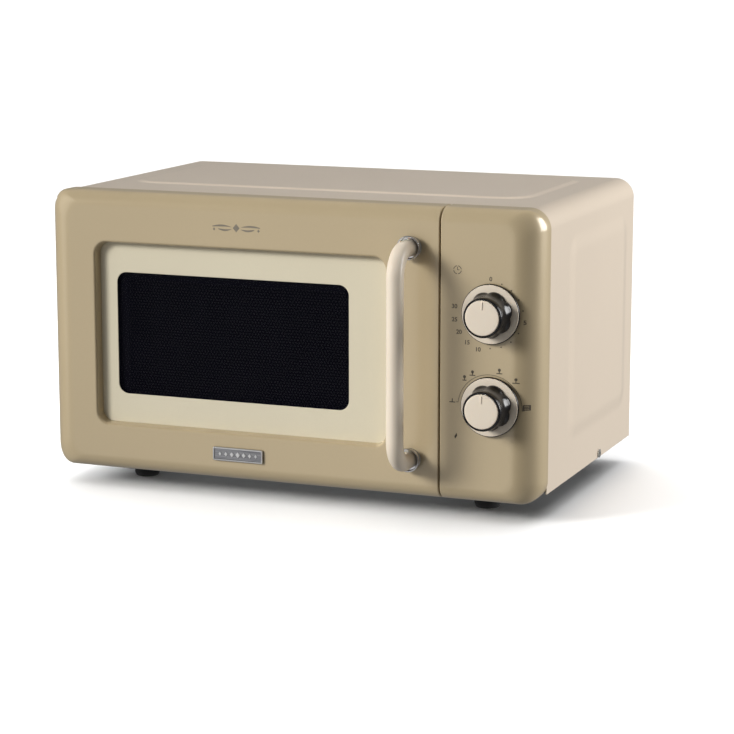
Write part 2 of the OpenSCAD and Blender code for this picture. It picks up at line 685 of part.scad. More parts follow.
module lamp_holder() color([0.85, 0.84, 0.80]) {
    difference() {
        rod_x(lamp[0], lamp[1], 9, [bay_x[0] + 26, bay_x[0] + 46]);
        rod_x(lamp[0], lamp[1], 6.2, [bay_x[0] + 25, bay_x[0] + 32]);
    }
    block([bay_x[0], bay_x[0] + 40], [lamp[0] + 8, lamp[0] + 10.5], about(lamp[1], 8));
}

module thermal_cutout() color([0.20, 0.20, 0.22]) {
    rod_z(tt_x, 150, 8, [cav_z[1] + sheet, cav_z[1] + 9]);
    block([tt_x - 14, tt_x + 14], [146, 154], [cav_z[1] + sheet, cav_z[1] + 2]);
}

module waveguide() color([0.80, 0.80, 0.81]) difference() {
    block(guide_x, guide_y, guide_z);
    block([guide_x[0] - 1, guide_x[1] - sheet], grow(guide_y, -sheet), grow(guide_z, -sheet));
    rod_x(antenna[0], antenna[1], 12, [guide_x[1] - 2, guide_x[1] + 1]);
}

// Bent steel frame of the magnetron with the shielding box on its end.
module magnetron_yoke() color([0.74, 0.74, 0.75]) {
    difference() {
        block(tube_x, about(antenna[0], 42), about(antenna[1], 38));
        block(grow(tube_x, -2.5), about(antenna[0], 43), about(antenna[1], 35.5));
        rod_x(antenna[0], antenna[1], 12, [tube_x[0] - 1, tube_x[1] - 1]);
    }
    block([tube_x[1], tube_x[1] + 28], about(antenna[0], 25), about(antenna[1], 25));
}

// Anode, its cooling fins, two ring magnets and the antenna on one axis.
module magnetron_core() color([0.78, 0.78, 0.80]) {
    rod_x(antenna[0], antenna[1], 10, [tube_x[0] - 20, tube_x[1] - 2.5]);
    rod_x(antenna[0], antenna[1], 18, grow(tube_x, -11));
    for (x = [tube_x[0] + 2.5, tube_x[1] - 10.5]) rod_x(antenna[0], antenna[1], 27, [x, x + 8]);
    for (x = [tube_x[0] + 12.6 : 6 : tube_x[1] - 12])
        block([x, x + 0.8], about(antenna[0], 38), about(antenna[1], 35));
}

trans_x = [126, 208];
trans_y = [103, 173];
trans_z = [floor_z + 3, floor_z + 73];
leg_x = [154, 180];

module transformer_core() color([0.35, 0.35, 0.37]) {
    difference() {
        block(trans_x, trans_y, trans_z);
        for (x = [[140, leg_x[0]], [leg_x[1], 194]]) block(x, grow(trans_y, 1), grow(trans_z, -14));
    }
    block(grow(trans_x, 4), grow(trans_y, -6), [floor_z + sheet, trans_z[0]]);
}

module winding(z) difference() {
    block([140.5, 193.5], grow(trans_y, 11), z);
    block(grow(leg_x, 0.3), grow(trans_y, 0.3), grow(z, 1));
}
module transformer_windings() color([0.72, 0.40, 0.18]) {
    winding([trans_z[0] + 15, trans_z[0] + 33]);
    winding([trans_z[0] + 36, trans_z[1] - 15]);
}

cap_y = 218;
cap_z = 52;
clamp_x = [134, 148];
module can_outline(grow_by) {
    translate([cap_y, cap_z - 10]) circle(16 + grow_by);
    translate([cap_y, cap_z + 10]) circle(16 + grow_by);
    translate([cap_y - 16 - grow_by, cap_z - 10]) square([32 + 2 * grow_by, 20]);
}
module along_x(x) translate([x[0], front_y, 0]) rotate([90, 0, 90]) linear_extrude(x[1] - x[0]) children();

module hv_capacitor() color([0.82, 0.82, 0.83]) {
    along_x([126, 204]) can_outline(0);
    for (z = [cap_z - 8, cap_z + 8]) block([204, 212], [cap_y - 3, cap_y + 3], [z - 0.4, z + 0.4]);
}

module capacitor_clamp() color([0.76, 0.76, 0.77]) {
    difference() {
        along_x(clamp_x) can_outline(1.2);
        along_x(grow(clamp_x, 1)) can_outline(0.05);
    }
    block(clamp_x, [cap_y + 16.1, cap_y + 17.2], [floor_z + sheet, cap_z]);
    block(clamp_x, [cap_y + 16.1, cap_y + 28], [floor_z + sheet, floor_z + 2.2]);
}

module hv_diode() color([0.10, 0.10, 0.11]) {
    rod_y(216, 38, 3.2, [196, 216]);
    rod_y(216, 38, 0.8, [190, 222]);
}

module fan_shroud() color([0.90, 0.90, 0.89]) difference() {
    block([fan_x - 49, fan_x + 49], [224, 246], [fan_z - 49, fan_z + 49]);
    block([fan_x - 47, fan_x + 47], [223, 244], [fan_z - 47, fan_z + 47]);
    rod_y(fan_x, fan_z, fan_r + 2, [240, 248]);
}

module fan_motor() color([0.55, 0.55, 0.57]) difference() {
    union() {
        block([fan_x - 22, fan_x + 22], [252, 264], [fan_z - 26, fan_z + 20]);
        rod_y(fan_x, fan_z, 13, [249, 272]);
        for (x = [fan_x - 17, fan_x + 17]) block([x - 4, x + 4], [246, 253], [fan_z - 4, fan_z + 4]);
        block([fan_x - 48, fan_x + 48], [246, 248], [fan_z - 4, fan_z + 4]);
        block([fan_x - 13, fan_x + 13], [250, 268], [fan_z - 24, fan_z - 14]);
    }
    rod_y(fan_x, fan_z, 2 + play, [245, 273]);
}

// Five pitched blades, a hub and the motor's shaft.
module fan_rotor() color([0.85, 0.85, 0.86]) {
    rod_y(fan_x, fan_z, 12, [228, 243]);
    rod_y(fan_x, fan_z, 2, [240, 271]);
    intersection() {
        rod_y(fan_x, fan_z, fan_r, [227, 243.5]);
        translate([fan_x, front_y + 235.5, fan_z]) for (i = [0 : 4]) rotate([0, 72 * i, 0])
            rotate([0, 0, 38]) translate([-0.8, -12, 6]) cube([1.6, 24, 50]);
    }
}

module filter_board() color([0.20, 0.38, 0.22]) {
    block([128, 212], [274, 275.6], [98, 142]);
    for (x = [134, 206], z = [104, 136]) rod_y(x, z, 2.5, [275.6, cab_y1 - 2]);
    rod_y(150, 120, 11, [256, 274]);
    block([172, 190], [262, 274], [106, 130]);
    block([194, 200], [266, 274], [108, 132]);
}

// Leads made of straight runs with a ball at each bend.
module lead(points, r) for (i = [0 : len(points) - 2]) {
    a = points[i];
    b = points[i + 1];
    d = b - a;
    length = norm(d);
    translate([a[0], front_y + a[1], a[2]])
        rotate([0, acos(d[2] / length), atan2(d[1], d[0])]) cylinder(r = r, h = length);
    if (i > 0) translate([a[0], front_y + a[1], a[2]]) sphere(r * 1.3);
}

module wiring_harness() color([0.75, 0.15, 0.12]) {
    for (i = [0 : 2]) {
        x = 203 + 4 * i;
        rise = [[x, 273.9, 136], [x, 268, 136], [x, 268, 250]];
        lead(concat(rise, [[x, 56, 250], [x, 56, 184], [x, 48.1, 184]]), 1.1);
    }
    lead([[165, 92, 72], [165, 86, 72], [215, 86, 72], [215, 86, 165], [215, 115, 165]], 1.5);
}

module cord_gland() color([0.10, 0.10, 0.10]) difference() {
    union() {
        rod_y(cord_hole[0], cord_hole[1], cord_hole[2] - 0.1, [cab_y1 - 6, cab_y1 + 4]);
        rod_y(cord_hole[0], cord_hole[1], cord_hole[2] + 3, [cab_y1 - sheet, cab_y1 + 1.5]);
        rod_y(cord_hole[0], cord_hole[1], cord_hole[2] + 2, [cab_y1 - 5, cab_y1 - 2 * sheet]);
    }
    rod_y(cord_hole[0], cord_hole[1], 4, [cab_y1 - 7, cab_y1 + 5]);
}

// ---------------------------------------------------------------- door interlock

switch_y = [53, 69];

module interlock_bracket() color([0.90, 0.90, 0.88]) {
    block([latch_x + 5.5, latch_x + 7.9], [plate_y + sheet + 0.2, 76], [58, 202]);
    for (z = [60, 98, 147, 200]) block([latch_x - 5, latch_x + 5.5], [70, 74], [z - 2, z + 2]);
}

module door_switches() color([0.12, 0.12, 0.13]) for (z = concat(hook_z, [prong_z])) difference() {
    union() {
        block([latch_x - 5, latch_x + 5.5], switch_y, [z - 14, z + 14]);
        for (s = [z - 10, z, z + 10])
            block(about(latch_x, 0.5), [switch_y[1] - 1, switch_y[1] + 8], about(s, 2.4));
    }
    rod_y(latch_x, z, 1.6 + play, [switch_y[0] - 1, switch_y[0] + 6]);
}

module plunger(z) color([0.80, 0.20, 0.15]) rod_y(latch_x, z, 1.6, [hook_end + 0.4, switch_y[0] + 4]);

outer_cabinet();
rear_panel();
base_plate();
cabinet_screws();
rubber_feet();
front_plate();
cavity_liner();
waveguide_cover();
cavity_lamp();
lamp_holder();
thermal_cutout();
turntable_motor();
turntable_coupler();
roller_ring();
roller_wheel(30);  // roller_wheel_1
roller_wheel(150);  // roller_wheel_2
roller_wheel(270);  // roller_wheel_3
glass_tray();
waveguide();
magnetron_yoke();
magnetron_core();
transformer_core();
transformer_windings();
hv_capacitor();
capacitor_clamp();
hv_diode();
fan_shroud();
fan_motor();
fan_rotor();
filter_board();
wiring_harness();
cord_gland();
control_panel();
timer_unit();
dial_shaft(timer_z);  // timer_shaft
dial_grip(timer_z);  // timer_grip
dial_ring(timer_z);  // timer_ring
dial_cap(timer_z);  // timer_cap
dial_shaft(power_z);  // power_shaft
dial_grip(power_z);  // power_grip
dial_ring(power_z);  // power_ring
dial_cap(power_z);  // power_cap
interlock_bracket();
door_switches();
plunger(hook_z[1]);  // upper_plunger
plunger(prong_z);  // middle_plunger
plunger(hook_z[0]);  // lower_plunger
door_frame();
window_pane();
window_border();
door_screen();
choke_frame();
choke_cover();
door_hinges();
door_latch();
latch_spring();
door_handle();
handle_ferrules();
handle_screws();
badge();
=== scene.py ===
import json
from math import cos, pi, radians, sin, sqrt, tan

import bmesh
import bpy
from mathutils import Matrix, Vector


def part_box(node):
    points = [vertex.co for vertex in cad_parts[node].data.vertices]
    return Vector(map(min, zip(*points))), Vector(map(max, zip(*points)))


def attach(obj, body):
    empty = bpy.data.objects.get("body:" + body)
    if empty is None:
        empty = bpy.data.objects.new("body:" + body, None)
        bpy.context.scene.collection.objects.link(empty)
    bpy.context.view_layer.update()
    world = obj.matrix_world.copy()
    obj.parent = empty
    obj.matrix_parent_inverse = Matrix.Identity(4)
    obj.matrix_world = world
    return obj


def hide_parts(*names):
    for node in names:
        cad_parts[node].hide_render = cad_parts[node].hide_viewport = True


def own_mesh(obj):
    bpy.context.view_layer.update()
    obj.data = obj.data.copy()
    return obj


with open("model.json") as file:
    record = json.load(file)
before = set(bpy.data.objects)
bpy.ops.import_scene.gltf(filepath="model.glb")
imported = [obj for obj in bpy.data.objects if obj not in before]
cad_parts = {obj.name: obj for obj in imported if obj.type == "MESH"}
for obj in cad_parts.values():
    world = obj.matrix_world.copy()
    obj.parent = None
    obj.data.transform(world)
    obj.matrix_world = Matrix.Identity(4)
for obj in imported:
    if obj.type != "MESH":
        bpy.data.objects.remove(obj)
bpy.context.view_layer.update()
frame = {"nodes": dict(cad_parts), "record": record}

# Looks of the microwave oven. Metres, +Z up, the front faces -Y, and depth is counted back from FRONT.

MM = 0.001

# ---- places from the frame

door_lo, door_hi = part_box("door_frame")
panel_lo, panel_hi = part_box("control_panel")
border_lo, border_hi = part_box("window_border")
screen_lo, screen_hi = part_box("door_screen")
cabinet_lo, cabinet_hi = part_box("outer_cabinet")
handle_lo, handle_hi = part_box("door_handle")
badge_lo, badge_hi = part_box("badge")
tray_lo, tray_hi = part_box("glass_tray")
feet_lo, feet_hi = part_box("rubber_feet")
spring_lo, spring_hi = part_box("latch_spring")
choke_lo, choke_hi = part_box("choke_frame")

FRONT = door_lo.y
LEFT, RIGHT = door_lo.x, panel_hi.x
BOTTOM, TOP = door_lo.z, door_hi.z

# Rounding of the front: its side edges, its top and bottom edges, and the corners of its outline and
# of its flat face.
SIDE_R = 24 * MM
TOP_R = 13 * MM
CORNER_R = 18 * MM
FACE_R = 12 * MM
WALL = 2.8 * MM

# Door hinge: its axis, the turning circle that the door's left wall follows, and the height of each tab.
PIVOT = Vector((LEFT + 12 * MM, FRONT + 14 * MM, 0))
SWING_R = 15.6 * MM
TABS = (choke_hi.z + 1.5 * MM, choke_lo.z - 3.5 * MM)

RECESS = (border_lo.x - 0.2 * MM, border_hi.x + 0.2 * MM, border_lo.z - 0.2 * MM, border_hi.z + 0.2 * MM)
RECESS_R = 11 * MM
WINDOW = (RECESS[0] + 17 * MM, RECESS[0] + 234 * MM, RECESS[2] + 26.5 * MM, RECESS[2] + 133.5 * MM)
WINDOW_R = 9 * MM

DIALS = {"timer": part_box("timer_grip"), "power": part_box("power_grip")}


def middle(span):
    """Middle of a node's box."""
    return (span[0] + span[1]) / 2


def mm(*rows):
    """Rows of millimetres in metres."""
    return [tuple(value * MM for value in row) for row in rows]


def sweep(start, end, steps):
    """Angles from start to end, given in degrees, in equal steps."""
    return [radians(start + (end - start) * i / steps) for i in range(steps + 1)]


def with_settings(thing, **settings):
    """Sets attributes of a thing and returns it."""
    for name, value in settings.items():
        setattr(thing, name, value)
    return thing


def add_object(name, data, **settings):
    """New object in the scene."""
    obj = with_settings(bpy.data.objects.new(name, data), **settings)
    bpy.context.scene.collection.objects.link(obj)
    return obj


# ---- materials

def linear(red, green, blue):
    """Scene colour of a display colour given as 0 to 255."""
    def one(value):
        value /= 255
        return value / 12.92 if value <= 0.04045 else ((value + 0.055) / 1.055) ** 2.4
    return (one(red), one(green), one(blue), 1.0)


def scaled(colour, factor):
    """Lighter or darker colour."""
    return tuple(min(1.0, c * factor) for c in colour[:3]) + (1.0,)


class Nodes:
    """Adds shader nodes to a tree."""

    def __init__(self, tree):
        self.tree = tree

    def add(self, kind, inputs=None, **settings):
        made = with_settings(self.tree.nodes.new("ShaderNode" + kind), **settings)
        for key, value in (inputs or {}).items():
            if isinstance(value, bpy.types.NodeSocket):
                self.tree.links.new(value, made.inputs[key])
            else:
                made.inputs[key].default_value = value
        return made

    def span(self, value, low, high, to_low=0.0, to_high=1.0, **settings):
        inputs = {"Value": value, "From Min": low, "From Max": high, "To Min": to_low, "To Max": to_high}
        return self.add("MapRange", inputs, **settings).outputs["Result"]

    def maths(self, operation, first, second):
        return self.add("Math", {0: first, 1: second}, operation=operation).outputs[0]


class Graph(Nodes):
    """A material whose Principled shader is fed by a few noise layers in object space."""

    def __init__(self, name, stretch=(1, 1, 1), **constants):
        self.material = bpy.data.materials.new(name)
        self.material.use_nodes = True
        super().__init__(self.material.node_tree)
        self.shader = self.tree.nodes["Principled BSDF"]
        for socket, value in constants.items():
            self.shader.inputs[socket.replace("_", " ")].default_value = value
        where = self.add("TexCoord").outputs["Object"]
        self.place = self.add("Mapping", {"Vector": where, "Scale": stretch}).outputs["Vector"]

    def texture(self, kind, inputs, **settings):
        return self.add("Tex" + kind, {"Vector": self.place, **inputs}, **settings).outputs

    def noise(self, scale, detail=3.0, roughness=0.55):
        return self.texture("Noise", {"Scale": scale, "Detail": detail, "Roughness": roughness})["Fac"]

    def mix(self, factor, first, second):
        return self.add("Mix", {0: factor, 6: first, 7: second}, data_type="RGBA").outputs[2]

    def bump(self, height, depth, below=None):
        inputs = {"Height": height, "Strength": 1.0, "Distance": depth}
        if below is not None:
            inputs["Normal"] = below
        return self.add("Bump", inputs).outputs["Normal"]

    def feed(self, **sockets):
        for socket, value in sockets.items():
            self.tree.links.new(value, self.shader.inputs[socket.replace("_", " ")])


def finish(name, colour, roughness, mottle=(16, 0.05), grain=(700, 0.012), spread=0.05, edge=0.4,
           specks=None, stretch=(1, 1, 1), **constants):
    """Base look, with display colours. mottle is (noise scale, colour share), grain is (noise scale, bump
    depth in mm), spread is how far the roughness wanders, edge is the rounding of sharp edges in mm, and
    specks are (voronoi scale, size, colour)."""
    colour = linear(*colour)
    graph = Graph(name, stretch, **constants)
    broad = graph.span(graph.noise(mottle[0], 5.0), 0.3, 0.7)
    tone = graph.mix(broad, scaled(colour, 1 - mottle[1]), scaled(colour, 1 + mottle[1]))
    fine = graph.noise(grain[0], 2.0)
    tone = graph.mix(graph.span(fine, 0.35, 0.65, 0.0, 0.35), tone, scaled(colour, 1 - 1.6 * mottle[1]))
    if specks:
        cells = graph.texture("Voronoi", {"Scale": specks[0]})["Distance"]
        speck = graph.span(cells, specks[1] * 0.6, specks[1], 1.0, 0.0)
        tone = graph.mix(speck, tone, linear(*specks[2]))
    smudge = graph.noise(mottle[0] * 2, 1.5, 0.4)
    rough = graph.span(smudge, 0.25, 0.75, max(0.02, roughness - spread), min(1.0, roughness + spread))
    normal = None
    if edge:
        normal = graph.add("Bevel", {"Radius": edge * MM}, samples=4).outputs["Normal"]
    normal = graph.bump(fine, grain[1] * MM, normal)
    graph.feed(Base_Color=tone, Roughness=rough, Normal=normal)
    graph.normal = normal
    graph.tone = tone
    return graph


CREAM = (231, 218, 199)
METAL = {"Metallic": 1.0}
GLOSS_COAT = {"Coat_Roughness": 0.07, "Coat_IOR": 1.5}

# Each material slot's name, colour, roughness, mottle, grain and spread, then its other settings.
FINISHES = {
    "beige_moulding": ("beige_pearl_lacquer", (193, 175, 141), 0.34, (9, 0.02), (420, 0.0015), 0.03,
                       {"Metallic": 0.1, "Coat_Weight": 0.5, **GLOSS_COAT}),
    "cream_paint": ("cream_gloss_enamel", (222, 207, 188), 0.28, (7, 0.012), (260, 0.001), 0.004,
                    {"Coat_Weight": 0.4, **GLOSS_COAT}),
    "border_print": ("satin_cream_film", (221, 212, 187), 0.42, (11, 0.02), (900, 0.004), 0.05,
                     {"edge": 0.1}),
    "cream_plastic": ("moulded_cream_plastic", CREAM, 0.31, (22, 0.012), (800, 0.002), 0.02,
                      {"Subsurface_Weight": 0.08, "Subsurface_Radius": (0.004, 0.003, 0.002)}),
    "gloss_black": ("gloss_black_plastic", (11, 11, 15), 0.2, (30, 0.2), (1100, 0.008), 0.06, {}),
    "black_plastic": ("textured_black_plastic", (34, 34, 37), 0.5, (40, 0.15), (1500, 0.03), 0.08, {}),
    "black_rubber": ("matt_black_rubber", (30, 30, 30), 0.78, (60, 0.25), (1800, 0.05), 0.08,
                     {"specks": (900, 0.2, (66, 64, 60))}),
    "plunger_red": ("red_acetal", (178, 40, 34), 0.35, (200, 0.08), (1600, 0.01), {}),
    "white_acetal": ("white_acetal", (228, 227, 219), 0.38, (70, 0.03), (1400, 0.01),
                     {"Subsurface_Weight": 0.1, "Subsurface_Radius": (0.003, 0.003, 0.003)}),
    "ceramic_white": ("glazed_ceramic", (226, 222, 210), 0.34, (120, 0.05), (900, 0.02),
                      {"specks": (600, 0.16, (150, 140, 120))}),
    "cavity_enamel": ("speckled_grey_enamel", (224, 223, 217), 0.34, (14, 0.03), (260, 0.03), 0.05,
                      {"specks": (420, 0.17, (122, 122, 118)), "Coat_Weight": 0.3, "Coat_Roughness": 0.1}),
    "choke_paint": ("cream_powder_coat", (222, 212, 192), 0.45, (20, 0.03), (1300, 0.03), 0.06, {}),
    "can_aluminium": ("drawn_aluminium", (200, 201, 203), 0.37, (50, 0.06), (900, 0.01), 0.08,
                      {"stretch": (0.06, 1, 1), **METAL}),
    "cast_aluminium": ("cast_aluminium", (176, 177, 178), 0.46, (90, 0.1), (1000, 0.06), 0.1, METAL),
    "motor_steel": ("plated_motor_steel", (178, 176, 170), 0.39, (60, 0.08), (1200, 0.02), 0.1, METAL),
    "shaft_steel": ("turned_shaft_steel", (190, 190, 190), 0.37, (80, 0.06), (700, 0.02), 0.08,
                    {"stretch": (1, 0.1, 1), **METAL}),
    "spring_steel": ("spring_steel", (150, 148, 146), 0.39, (200, 0.12), (1500, 0.02), 0.1, METAL),
    "screw_zinc": ("bright_zinc_screw", (196, 196, 192), 0.39, (150, 0.1), (1500, 0.02), 0.1,
                   {"edge": 0.25, **METAL}),
    "chrome_trim": ("polished_chrome", (214, 214, 216), 0.08, (60, 0.04), (900, 0.002), 0.03,
                    {"edge": 0.2, **METAL}),
    "wire_red": ("silicone_lead", (170, 34, 30), 0.45, (120, 0.1), (1500, 0.02), {}),
    "screen_steel": ("black_perforated_steel", (20, 20, 30), 0.5, (60, 0.15), (1500, 0.01),
                     {"edge": 0, "Specular_IOR_Level": 0.12}),
}


def build_materials():
    """One finish for each material slot of the record."""
    made = {slot: finish(*look, **more) for slot, (*look, more) in FINISHES.items()}
    made["lamination_steel"] = laminated()
    made["copper_enamel"] = wound_copper()
    made["zinc_sheet"] = spangled_zinc()
    made["badge_metal"] = brushed_badge()
    made["mica"] = mica_sheet()
    made["board_green"] = circuit_board()
    made["lamp_glass"] = clear_glass("lamp_glass", linear(250, 240, 214), 0.06)
    made["tray_glass"] = clear_glass("pressed_tray_glass", linear(238, 248, 245), 0.03)
    made["window_glass"] = window_glass()
    return {slot: graph.material for slot, graph in made.items()}


def laminated():
    """Stack of varnished transformer plates, with a fine line at each plate."""
    graph = finish("laminated_core", (72, 70, 72), 0.42, (60, 0.18), (900, 0.02), 0.1, Metallic=0.7)
    lines = graph.texture("Wave", {"Scale": 320.0, "Distortion": 0.4, "Detail": 1.0},
                          wave_type="BANDS", bands_direction="Y")["Fac"]
    graph.feed(Normal=graph.bump(lines, 0.12 * MM, graph.normal),
               Base_Color=graph.mix(graph.span(lines, 0.0, 0.35, 0.6, 0.0), graph.tone, linear(30, 26, 24)))
    return graph


def wound_copper():
    """Enamelled winding wire laid side by side under a coat of varnish."""
    graph = finish("copper_winding", (188, 92, 42), 0.37, (90, 0.12), (900, 0.02), 0.08, Metallic=0.85,
                   Coat_Weight=0.6, Coat_Roughness=0.2)
    turns = graph.texture("Wave", {"Scale": 260.0, "Distortion": 0.6, "Detail": 1.0},
                          wave_type="BANDS", bands_direction="Z")["Fac"]
    graph.feed(Normal=graph.bump(turns, 0.35 * MM, graph.normal),
               Base_Color=graph.mix(graph.span(turns, 0.0, 0.4, 0.7, 0.0), graph.tone, linear(70, 26, 12)))
    return graph


def spangled_zinc():
    """Hot-dip zinc on sheet steel: overlapping crystals that reflect at different strengths."""
    graph = Graph("spangled_zinc_sheet", Metallic=1.0)
    cells = graph.texture("Voronoi", {"Scale": 110.0})["Color"]
    tone = graph.add("SeparateColor", {"Color": cells}).outputs[0]
    cloud = graph.noise(26, 4.0)
    colour = graph.mix(graph.span(tone, 0.0, 1.0), linear(164, 167, 170), linear(198, 200, 201))
    colour = graph.mix(graph.span(cloud, 0.35, 0.7, 0.0, 0.35), colour, linear(150, 152, 156))
    rough = graph.span(graph.maths("ADD", tone, cloud), 0.2, 1.6, 0.3, 0.5)
    rounded = graph.add("Bevel", {"Radius": 0.4 * MM}, samples=4).outputs["Normal"]
    normal = graph.bump(graph.noise(900, 2.0), 0.012 * MM, rounded)
    graph.feed(Base_Color=colour, Roughness=rough, Normal=normal)
    return graph


def brushed_badge():
    """Silver plate with a bright border and bright marks on a grey brushed floor."""
    graph = finish("brushed_silver_badge", (222, 222, 224), 0.33, (40, 0.08), (1600, 0.012), 0.05,
                   edge=0.25, stretch=(0.04, 1, 1), Metallic=1.0)
    depth = graph.add("SeparateXYZ", {"Vector": graph.place}).outputs["Y"]
    raised = graph.span(depth, badge_lo.y + 0.5 * MM, badge_lo.y + 0.75 * MM, 1.0, 0.0)
    lines = graph.span(graph.noise(900, 3.0), 0.3, 0.7)
    floor = graph.mix(lines, linear(138, 138, 142), linear(184, 184, 188))
    graph.feed(Base_Color=graph.mix(raised, floor, linear(246, 246, 247)))
    return graph


def mica_sheet():
    """Pressed mica: pale flakes with a slight shine."""
    graph = finish("mica_sheet", (196, 184, 152), 0.4, (70, 0.12), (500, 0.03), 0.12, Sheen_Weight=0.1)
    flakes = graph.texture("Voronoi", {"Scale": 160.0})["Color"]
    tone = graph.add("SeparateColor", {"Color": flakes}).outputs[1]
    share = graph.span(tone, 0.0, 1.0, 0.0, 0.5)
    graph.feed(Base_Color=graph.mix(share, graph.tone, linear(164, 150, 116)))
    return graph


def circuit_board():
    """Green lacquer over copper tracks."""
    graph = finish("circuit_board_lacquer", (28, 92, 52), 0.35, (60, 0.12), (900, 0.02), 0.06,
                   Coat_Weight=0.4, Coat_Roughness=0.15)
    tracks = graph.texture("Brick", {"Scale": 60.0, "Mortar Size": 0.05, "Mortar": linear(110, 150, 70),
                                     "Color1": linear(30, 98, 56), "Color2": linear(24, 80, 46)})["Color"]
    graph.feed(Base_Color=graph.mix(graph.span(graph.noise(80), 0.3, 0.7, 0.3, 0.9), graph.tone, tracks))
    return graph


def clear_glass(name, colour, roughness):
    """Clear pressed glass with faint flow marks. Alpha lets light through to what lies under it."""
    graph = Graph(name, Alpha=0.32, IOR=1.47)
    flow = graph.noise(60, 3.0)
    rough = graph.span(graph.noise(240, 3.0), 0.3, 0.7, roughness * 0.5, roughness * 1.5)
    tone = graph.mix(graph.span(flow, 0.3, 0.7), colour, scaled(colour, 0.97))
    graph.feed(Base_Color=tone, Roughness=rough, Normal=graph.bump(flow, 0.02 * MM))
    return graph


def window_glass():
    """Tinted door glass that lets some of the screen behind it through."""
    graph = Graph("tinted_door_glass", Alpha=0.3, IOR=1.5, Specular_IOR_Level=0.08)
    smear = graph.noise(30, 4.0, 0.6)
    tone = graph.mix(graph.span(smear, 0.3, 0.7), linear(4, 4, 14), linear(7, 7, 18))
    rough = graph.span(graph.noise(18, 5.0, 0.7), 0.3, 0.75, 0.03, 0.1)
    graph.feed(Base_Color=tone, Roughness=rough, Normal=graph.bump(smear, 0.01 * MM))
    return graph


def print_ink():
    """Grey ink of the dial scales, slightly uneven."""
    return finish("grey_print_ink", (92, 84, 72), 0.45, (300, 0.12), (1800, 0.004), 0.08, edge=0)


def ornament_ink():
    """Metallic grey ink of the flourish on the door."""
    return finish("silver_grey_ornament", (142, 134, 120), 0.34, (200, 0.08), (1600, 0.004), 0.06, edge=0,
                  Metallic=0.35)


MATERIALS = build_materials()
INK = print_ink().material
ORNAMENT = ornament_ink().material

# ---- mesh helpers


def smoothstep(t):
    t = max(0.0, min(1.0, t))
    return t * t * (3 - 2 * t)


def fillet(path, steps=5):
    """Points of an open path given as (a, b, radius), with each inner corner rounded by its radius."""
    points = [Vector(path[0][:2])]
    for before, here, after in zip(path, path[1:], path[2:]):
        corner = Vector(here[:2])
        back = Vector(before[:2]) - corner
        on = Vector(after[:2]) - corner
        angle = back.angle(on) if back.length and on.length else pi
        radius = here[2]
        if radius <= 0 or abs(angle - pi) < 1e-3:
            points.append(corner)
            continue
        reach = min(radius / tan(angle / 2), back.length * 0.49, on.length * 0.49)
        start, end = corner + back.normalized() * reach, corner + on.normalized() * reach
        radius = reach * tan(angle / 2)
        inwards = (back.normalized() + on.normalized()).normalized()
        centre = corner + inwards * (radius / sin(angle / 2))
        first, last = start - centre, end - centre
        turn = first.angle_signed(last)
        for i in range(steps + 1):
            a = -turn * i / steps
            points.append(centre + Matrix.Rotation(a, 2) @ first)
    points.append(Vector(path[-1][:2]))
    return points


def rounded_rect(x0, x1, z0, z1, r, steps=10, xs=()):
    """Points (x, z, share) round a rectangle. share is 0 on its sides and 1 along its top and bottom,
    and xs are extra places along the top and the bottom."""
    corners = [(x1 - r, z0 + r, -90), (x1 - r, z1 - r, 0), (x0 + r, z1 - r, 90), (x0 + r, z0 + r, 180)]
    points = []
    for index, (cx, cz, start) in enumerate(corners):
        for i in range(steps + 1):
            a = radians(start + 90 * i / steps)
            share = smoothstep(i / steps if index % 2 else 1 - i / steps)
            points.append((cx + r * cos(a), cz + r * sin(a), share))
        if index == 1:
            points += [(x, z1, 1.0) for x in sorted(xs, reverse=True)]
        if index == 3:
            points += [(x, z0, 1.0) for x in sorted(xs)]
    return points


def skin(bm, rings, around=True, join_ends=False):
    """Quads between successive rings of points; returns the rings' vertices."""
    loops = [[bm.verts.new(point) for point in ring] for ring in rings]
    pairs = list(zip(loops, loops[1:]))
    if join_ends:
        pairs.append((loops[-1], loops[0]))
    for first, second in pairs:
        count = len(first)
        for i in range(count if around else count - 1):
            k = (i + 1) % count
            bm.faces.new((first[i], first[k], second[k], second[i]))
    return loops


def tidy(bm, merge=1e-6):
    """Merges points that coincide and turns all faces outwards."""
    bmesh.ops.remove_doubles(bm, verts=bm.verts[:], dist=merge)
    bmesh.ops.dissolve_degenerate(bm, edges=bm.edges[:], dist=merge)
    bmesh.ops.recalc_face_normals(bm, faces=bm.faces[:])


def face_out(bm):
    """Turns every face towards the front."""
    for face in bm.faces:
        face.normal_update()
        if face.normal.y > 0:
            face.normal_flip()


def lathe(bm, profile, place, segments=72, radius=None):
    """Turns a profile of (radius, height) about local Z. radius(angle, r, h) may shape it."""
    rings = []
    for r, h in profile:
        ring = []
        for i in range(segments):
            a = 2 * pi * i / segments
            reach = radius(a, r, h) if radius else r
            ring.append(place @ Vector((reach * cos(a), reach * sin(a), h)))
        rings.append(ring)
    return skin(bm, rings)


def outwards(x, z):
    """Places local Z on the line that comes out of the front at x and z."""
    turn = Matrix(((1, 0, 0, 0), (0, 0, -1, 0), (0, 1, 0, 0), (0, 0, 0, 1)))
    return Matrix.Translation((x, FRONT, z)) @ turn


def upwards(x, y, z):
    return Matrix.Translation((x, y, z))


